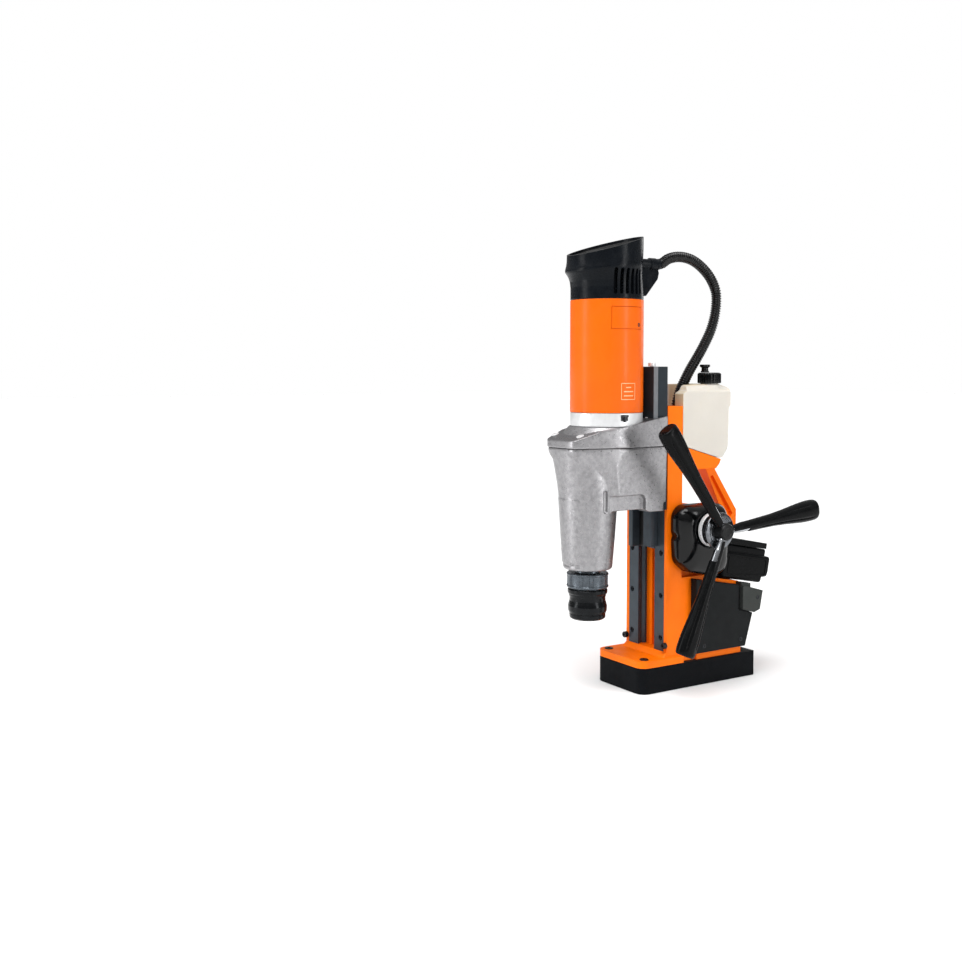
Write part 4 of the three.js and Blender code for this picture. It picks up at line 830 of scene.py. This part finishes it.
cov = make("gearbox_cover_fine", *loft_mesh([[(x, y, z) for x, y in [(x + 1.1 * x / max(1, math.hypot(x, y + 110)), min(y + 1.1 * (y + 110) / max(1, math.hypot(x, y + 110)), -50.3)) for x, y in mirrored(fineH)]] for z in (280.15, 330)]))
def below(z0, y0, slope):
    """A block above the plane that passes through (y0, z0) and rises by slope along Y."""
    return prism("above", [(-260, z0 + slope * (-260 - y0)), (60, z0 + slope * (60 - y0)), (60, 420), (-260, 420)], -90, 90)
boss = lathe("boss", rounded([(0, 282), (52, 282), (49.5, 295), (43.8, 301.4), (42.3, 303.1), (0, 303.1)], [0, 0, 6, 3, 0.6, 0], 6, False), 160, "z", (0, MO, 0))
plan = prism("plan", [(x + 0.7 * x / max(1, math.hypot(x, y + 110)), min(y + 0.7 * (y + 110) / max(1, math.hypot(x, y + 110)), -50.3)) for x, y in mirrored(fineH)], 280.15, 340, "z")
boolean(boss, [plan], "INTERSECT")
boolean(cov, [below(289.1, -170.5, 0.33), below(298, -145, 0.172)])
boolean(cov, [boss], "UNION")
boolean(cov, [
    lathe("seat", [(0, 303.1), (41.5, 303.1), (41.5, 360), (0, 360)], 128, "z", (0, MO, 0)),
    lathe("mid", [(0, 270), (12, 270), (12, 340), (0, 340)], 48, "z", (0, MO, 0)),
    block(-36.3, 36.3, -65.1, -40, 270, 340),
])
rm = cov.modifiers.new("remesh", "REMESH")
rm.mode, rm.voxel_size = "VOXEL", 0.0007
sm = cov.modifiers.new("smooth", "SMOOTH")
sm.factor, sm.iterations = 0.5, 5
bake(cov, 80)
finish_piece(cov, "motor_carriage", "cast_alu", "cast_alu", "gearbox_cover")
PADS = ((20.1, -157.9, 4.4), (-27.9, -157.1, 4.4), (20.1, -61.6, 3.8), (-25.0, -62.0, 3.8))
for k, (x, y, r1) in enumerate(PADS):
    lean = 0.33 if y < -145 else 0.172
    top = min(289.1 + 0.33 * (y + 170.5), 298 + 0.172 * (y + 145))
    c, tilt = Vector((x, y, top - 1.2)), Vector((0, -lean, 1)).normalized()
    screw(f"cover_pad_{k + 1}", None, tuple(c), tuple(tilt), r1, 2.2, 1.6, "motor_carriage", "machined_alu", "bright_metal")

# ================================================================ motor
ring = lathe("neck_ring_fine", rounded([(34, 303.4), (40.6, 303.4), (40.9, 304.4), (40.9, 318.4), (34, 318.4)], [0, 0.3, 0.4, 0.4, 0], 3), 160, "z", (0, MO, 0))
finish_piece(ring, "motor_carriage", "machined_alu", "bright_metal", "neck_ring")
clip = block(39.6, 41.7, -4.2, 4.2, 310.2, 316.8, "ring_clip")
boolean(clip, [block(39.6, 43.1, -4.2, 4.2, 314.2, 316.8, "hook"), block(39.6, 43.1, -1.2, 1.4, 308.8, 315, "tongue")], "UNION")
bevel(clip, 0.35, 2)
ca = math.radians(-9)
for vert in clip.data.vertices:
    x, y = vert.co.x, vert.co.y
    vert.co.x, vert.co.y = x * math.cos(ca) - y * math.sin(ca), x * math.sin(ca) + y * math.cos(ca) + MO * MM
finish_piece(clip, "motor_carriage", "dark_steel", "dark_steel")

hs = lathe("motor_housing_fine", rounded([(36, 318.8), (41.2, 318.8), (41.2, 444.3), (36, 444.3)], [0, 0.7, 0.5, 0], 4), 192, "z", (0, MO, 0))
def sector(r0, r1, a0, a1, z0, z1, n=24, name="cutter"):
    pts = [(r1 * math.cos(math.radians(a0 + (a1 - a0) * i / n)), MO + r1 * math.sin(math.radians(a0 + (a1 - a0) * i / n))) for i in range(n + 1)]
    pts += [(r0 * math.cos(math.radians(a0 + (a1 - a0) * i / n)), MO + r0 * math.sin(math.radians(a0 + (a1 - a0) * i / n))) for i in range(n, -1, -1)]
    return prism(name, pts, z0, z1, "z")
boolean(hs, [sector(38.6, 45, -31, 28, 411, 436)])
finish_piece(hs, "motor_carriage", "orange_plastic", "orange_plastic", "motor_housing")
bc = sector(38.7, 41.2, -30.4, 27.4, 411.45, 435.55, 30, "brush_cover_fine")
bevel(bc, 0.5, 3)
finish_piece(bc, "motor_carriage", "orange_plastic", "orange_plastic", "brush_cover")
ca = math.radians(21)
screw("brush_cover_screw", None, (40.3 * math.cos(ca), MO + 40.3 * math.sin(ca), 416.0), (math.cos(ca), math.sin(ca), 0), 2.3, 1.3, 1.2, "motor_carriage", "dark_steel", "dark_steel")
# plain data-plate frame with three bars, no lettering
frame_o = sector(41.0, 41.5, -15.0, 11.2, 333.4, 351.8, 20, "badge_frame")
boolean(frame_o, [sector(40, 43, -14.2, 10.4, 334.1, 351.1, 18)])
finish_piece(frame_o, "motor_carriage", "badge_print", "bright_metal")
for k, (a0, a1) in enumerate(((-10.5, 6.8), (-10.5, 6.8), (-6.5, 2.8))):
    finish_piece(sector(41.0, 41.45, a0, a1, 337.2 + 4.6 * k, 338.4 + 4.6 * k, 12, f"badge_bar_{k + 1}"), "motor_carriage", "badge_print", "bright_metal")

# fan end cap
SL = 0.29
RINGS = np.array([
    (444.6, 40.6, 0, 0), (445.4, 41.0, 0, 0), (452, 40.85, -0.2, 0), (458, 40.7, -0.4, 0), (466, 40.85, -1.2, 0.03), (470, 41.2, -2.0, 0.05), (474, 41.9, -2.9, 0.075), (477.6, 42.8, -4.0, 0.10),
    (479.4, 43.3, -4.4, 0.112), (481, 43.55, -4.5, 0.12), (483, 43.6, -4.5, 0.13), (486, 43.4, -4.2, 0.155), (492, 43.0, -3.2, 0.2), (508, 42.8, -2.9, 0.24), (540, 42.5, -2.4, SL),
])
def cap_rings(grow, n=176):
    zs = np.concatenate([np.linspace(444.6, 486, 40), np.linspace(489, 540, 10)])
    out = []
    for z in sorted(set([445.0, 445.4]) | set(float(v_) for v_ in zs)):
        r_, dy, kk = (np.interp(z, RINGS[:, 0], RINGS[:, c_]) for c_ in (1, 2, 3))
        ring_ = []
        for i in range(n):
            a_ = 2 * math.pi * i / n
            x_, y_ = (r_ + grow) * math.cos(a_), MO + dy + (r_ + grow) * math.sin(a_)
            ring_.append((x_, y_, z + kk * (y_ - MO)))
        out.append(ring_)
    return out
def over(z150, name="above"):
    return prism(name, [(-260, z150 + SL * (-260 + 150)), (60, z150 + SL * (60 + 150)), (60, 660), (-260, 660)], -90, 90)
def under(z150, name="under"):
    return prism(name, [(-260, z150 + SL * (-260 + 150)), (60, z150 + SL * (60 + 150)), (60, 300), (-260, 300)], -90, 90)
capm = make("motor_cap_fine", *loft_mesh(cap_rings(0)), 40)
boolean(capm, [over(493.3)])
dish = lathe("dish", [(0, 440), (40.4, 440), (40.4, 580), (0, 580)], 160, "z", (0, MO - 2.7, 0))
boolean(dish, [under(487.6)])
cuts = [dish]
for s in (0, 180):
    for i in range(6):
        a = math.radians(s + (i - 2.5) * 10)
        c, sn = math.cos(a), math.sin(a)
        pl = rounded([(-2.1, 449.5), (2.1, 449.5), (2.1, 477.8), (-2.1, 477.8)], 1.8, 5)
        b = prism("vent", pl, 35.0, 60)
        for vert in b.data.vertices:
            x, y = vert.co.x, vert.co.y
            vert.co.x, vert.co.y = x * c - y * sn, x * sn + y * c + MO * MM
        cuts.append(b)
boolean(capm, cuts)
bevel(capm, 0.6, 3, 42)
finish_piece(capm, "motor_carriage", "cap_plastic", "black_plastic", "motor_cap")

gr = lathe("top_grille_fine", [(0, 440), (39.9, 440), (39.9, 580), (0, 580)], 128, "z", (0, MO - 2.7, 0))
boolean(gr, [under(488.2), over(490.2)])
slots = []
for i in range(-6, 7):
    reach = math.sqrt(max(0, 35.5 ** 2 - (5.4 * i) ** 2))
    if reach > 6:
        for a_, b_ in ((-reach, -2.4), (2.4, reach)):
            slots.append(prism("slot", rounded([(5.4 * i - 1.5, MO - 2.7 + a_), (5.4 * i + 1.5, MO - 2.7 + a_), (5.4 * i + 1.5, MO - 2.7 + b_), (5.4 * i - 1.5, MO - 2.7 + b_)], 1.3, 4), 460, 550, "z"))
boolean(gr, slots)
bevel(gr, 0.35, 2, 40)
# the grille in near-black: its own dark colour, deepened as painted shade of the cap's interior
finish_piece(gr, "motor_carriage", "near_black_shade", "dark_steel", "top_grille")

# hose gland
gl = lathe("gland_fine", rounded([(0, -72), (5.6, -72), (5.6, -58.4), (6.9, -57.4), (6.9, -49), (5.9, -47.6), (6.4, -47.2), (6.4, -43.3), (0, -43.3)], [0, 0.3, 0.4, 0.5, 0.6, 0.3, 0.3, 0.5, 0], 3, False), 64, "y", (14, 0, 486.5),
           radius=lambda t, r, h: r * (1.0 - 0.035 * (abs(math.sin(3 * t)) ** 6)) if r > 6.5 else r)
gus = pillow("gusset", [(-72, 481), (-60.5, 483), (-46.2, 483), (-44.2, 476.5), (-46, 469.5), (-63, 449.9), (-72, 449.9)], [0.5, 2.5, 2.5, 3, 4, 2, 0.5], 11.4, 16.6, 0.8)
boolean(gl, [gus], "UNION")
boolean(gl, [make("keep", *loft_mesh(cap_rings(0.15)))])
finish_piece(gl, "motor_carriage", "cap_plastic", "black_plastic", "conduit_gland")

# ================================================================ hose
line = catmull(HOSE)
keep = (line[:, 1] > -42.9) & (line[:, 2] > 322.1)
line = line[keep]
line, total = even(line, 0.42)
tang = np.gradient(line, axis=0)
tang /= np.linalg.norm(tang, axis=1)[:, None]
side = np.array([1.0, 0, 0])
verts, faces = [], []
n = 20
s = np.linspace(0, total, len(line))
for i, (p, tt) in enumerate(zip(line, tang)):
    u = side - tt * (side @ tt)
    u /= np.linalg.norm(u)
    w = np.cross(tt, u)
    side = u
    ph = (s[i] / 2.85) % 1.0
    rad = 5.0 + 1.2 * (0.5 + 0.5 * math.tanh(2.4 * math.cos(2 * math.pi * ph)))
    for k in range(n):
        a = 2 * math.pi * k / n
        verts.append(tuple(p + rad * (u * math.cos(a) + w * math.sin(a))))
for i in range(len(line) - 1):
    for k in range(n):
        a, b = i * n + k, i * n + (k + 1) % n
        faces.append((a, b, b + n, a + n))
faces.append(tuple(reversed(range(n))))
faces.append(tuple(range((len(line) - 1) * n, len(line) * n)))
hose = make("corrugated_hose", verts, faces, 60)
hose.data.materials.append(M["hose_black"])
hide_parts("cable_conduit")
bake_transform(hose)

# ================================================================ chuck
def flats(count, depth, lo, hi):
    def g(t, r, h):
        if lo < h < hi:
            k = (t * count / (2 * math.pi)) % 1.0
            if k < 0.16 or k > 0.84:
                return r - depth
        return r
    return g
body = lathe("chuck_body_fine", rounded([(9.6, 85.8), (15.6, 85.8), (16.4, 86.6), (16.4, 121.8), (22.6, 121.8), (23.6, 122.9), (23.6, 124.4), (23.0, 125.0), (23.0, 135.9), (23.6, 136.5), (23.6, 137.7), (22.6, 138.8), (14, 138.8), (14, 141.7), (0, 141.7), (0, 132.8), (9.6, 132.8)],
                                         [0.5, 0.4, 0.3, 0.2, 0.6, 0.5, 0.3, 0.3, 0.3, 0.3, 0.5, 0.6, 0.3, 0.2, 0, 0, 0.3], 3), 240, "z", (0, SP, 0), 32,
             radius=lambda t, r, h: r - (0.9 if (22 < r and 124.6 < h < 136.4 and ((t * 12 / (2 * math.pi) + 0.1) % 1.0) < 0.42) else 0))
finish_piece(body, "spindle", "chuck_steel", "dark_steel", "chuck_body")
sl = lathe("chuck_sleeve_fine", rounded([(16.8, 86.3), (18.4, 86.3), (20.3, 88.0), (20.5, 91.6), (20.1, 92.0), (20.1, 92.6), (20.9, 93.4), (21.9, 96.0), (22.1, 101.0), (21.3, 104.4), (20.4, 107.0), (20.3, 111.0), (21.3, 113.6), (21.3, 114.6), (22.5, 116.0), (22.5, 119.6), (21.6, 120.7), (16.8, 120.7)],
                                         [0.2, 0.8, 0.8, 0.2, 0.1, 0.1, 0.8, 1.6, 2.5, 2.5, 2.0, 1.6, 0.3, 0.3, 0.6, 0.7, 0.6, 0.2], 4), 192, "z", (0, SP, 0), 32)
finish_piece(sl, "chuck_sleeve", "black_chuck", "dark_steel", "chuck_sleeve")

# machined corner of the slide plate as a thin lighter strip: painted highlight along its chamfer
for k, sx in enumerate((1, -1)):
    edge = prism(f"slide_edge_{k + 1}", [(sx * q[0], q[1]) for q in [(32.6, -64.82), (33.0, -64.98), (36.18, -61.8), (36.02, -61.4), (35.7, -61.9), (33.0, -64.6)]], 207.2, 369.9, "z")
    finish_piece(edge, "motor_carriage", "slide_chamfer_highlight", "bright_metal")

# a thin near-black sheet in the carriage's recess: painted shade where the recess falls dark
recess_shade_sheet = block(-12.3, 6.7, -46.75, -46.35, 160.4, 206.6, "carriage_recess_shade_sheet")
finish_piece(recess_shade_sheet, "motor_carriage", "near_black_shade", "black_plastic")

# ================================================================ floor and light
fl = bpy.data.meshes.new("floor")
fl.from_pydata([(-14, -14, 0), (14, -14, 0), (14, 14, 0), (-14, 14, 0)], [], [(0, 1, 2, 3)])
floor = bpy.data.objects.new("floor", fl)
scene.collection.objects.link(floor)
fm = material("pale_floor", (0.86, 0.86, 0.86, 1), 0.55, vary=0.01, patch=400, bumps=((30, 0.02),), spec=0.25)
fl.materials.append(fm)
floor.location.z = -0.0002

world = bpy.data.worlds.new("studio")
scene.world = world
world.use_nodes = True
wn = world.node_tree
wn.nodes.clear()
wo = wn.nodes.new("ShaderNodeOutputWorld")
bg = wn.nodes.new("ShaderNodeBackground")
sky_dir = wn.nodes.new("ShaderNodeTexCoord")
sky_xyz = wn.nodes.new("ShaderNodeSeparateXYZ")
sky = wn.nodes.new("ShaderNodeMapRange")
wn.links.new(sky_dir.outputs["Generated"], sky_xyz.inputs[0])
wn.links.new(sky_xyz.outputs[2], sky.inputs["Value"])
sky.inputs["From Min"].default_value, sky.inputs["From Max"].default_value = 0.0, 0.9
sky.inputs["To Min"].default_value, sky.inputs["To Max"].default_value = 0.16, 0.72
wn.links.new(sky.outputs[0], bg.inputs[1])
bg.inputs[0].default_value = (1, 1, 1, 1)
seen = wn.nodes.new("ShaderNodeBackground")
seen.inputs[0].default_value = (1, 1, 1, 1)
seen.inputs[1].default_value = 1.0
lp = wn.nodes.new("ShaderNodeLightPath")
mx = wn.nodes.new("ShaderNodeMixShader")
wn.links.new(lp.outputs["Is Camera Ray"], mx.inputs[0])
wn.links.new(bg.outputs[0], mx.inputs[1])
wn.links.new(seen.outputs[0], mx.inputs[2])
wn.links.new(mx.outputs[0], wo.inputs[0])


def area(name, loc, aim, size, power, shape="RECTANGLE", sy=None):
    d = bpy.data.lights.new(name, "AREA")
    d.shape, d.size, d.size_y, d.energy = shape, size, sy or size, power
    o = bpy.data.objects.new(name, d)
    scene.collection.objects.link(o)
    o.location = loc
    o.rotation_mode = "QUATERNION"
    o.rotation_quaternion = (Vector(aim) - Vector(loc)).to_track_quat("-Z", "Y")
    o.visible_camera = False
    return o


def sun(name, direction, strength, angle):
    d = bpy.data.lights.new(name, "SUN")
    d.energy, d.angle = strength, math.radians(angle)
    o = bpy.data.objects.new(name, d)
    scene.collection.objects.link(o)
    o.rotation_mode = "QUATERNION"
    o.rotation_quaternion = Vector(direction).to_track_quat("-Z", "Y")
    return o


sun("overhead", (-0.25, 0.45, -1.0), 3.1, 45)
area("left_box", (-0.42, -1.28, 0.50), (0, -0.10, 0.28), 0.30, 5.5, sy=1.1)
area("back_right", (-0.45, 1.25, 0.45), (0, -0.03, 0.28), 0.30, 2.2, sy=1.1)
area("right_strip", (1.5, 0.55, 0.65), (0.03, 0, 0.22), 0.28, 9, sy=1.2)
scene.view_settings.view_transform = "Standard"
scene.view_settings.look = "None"
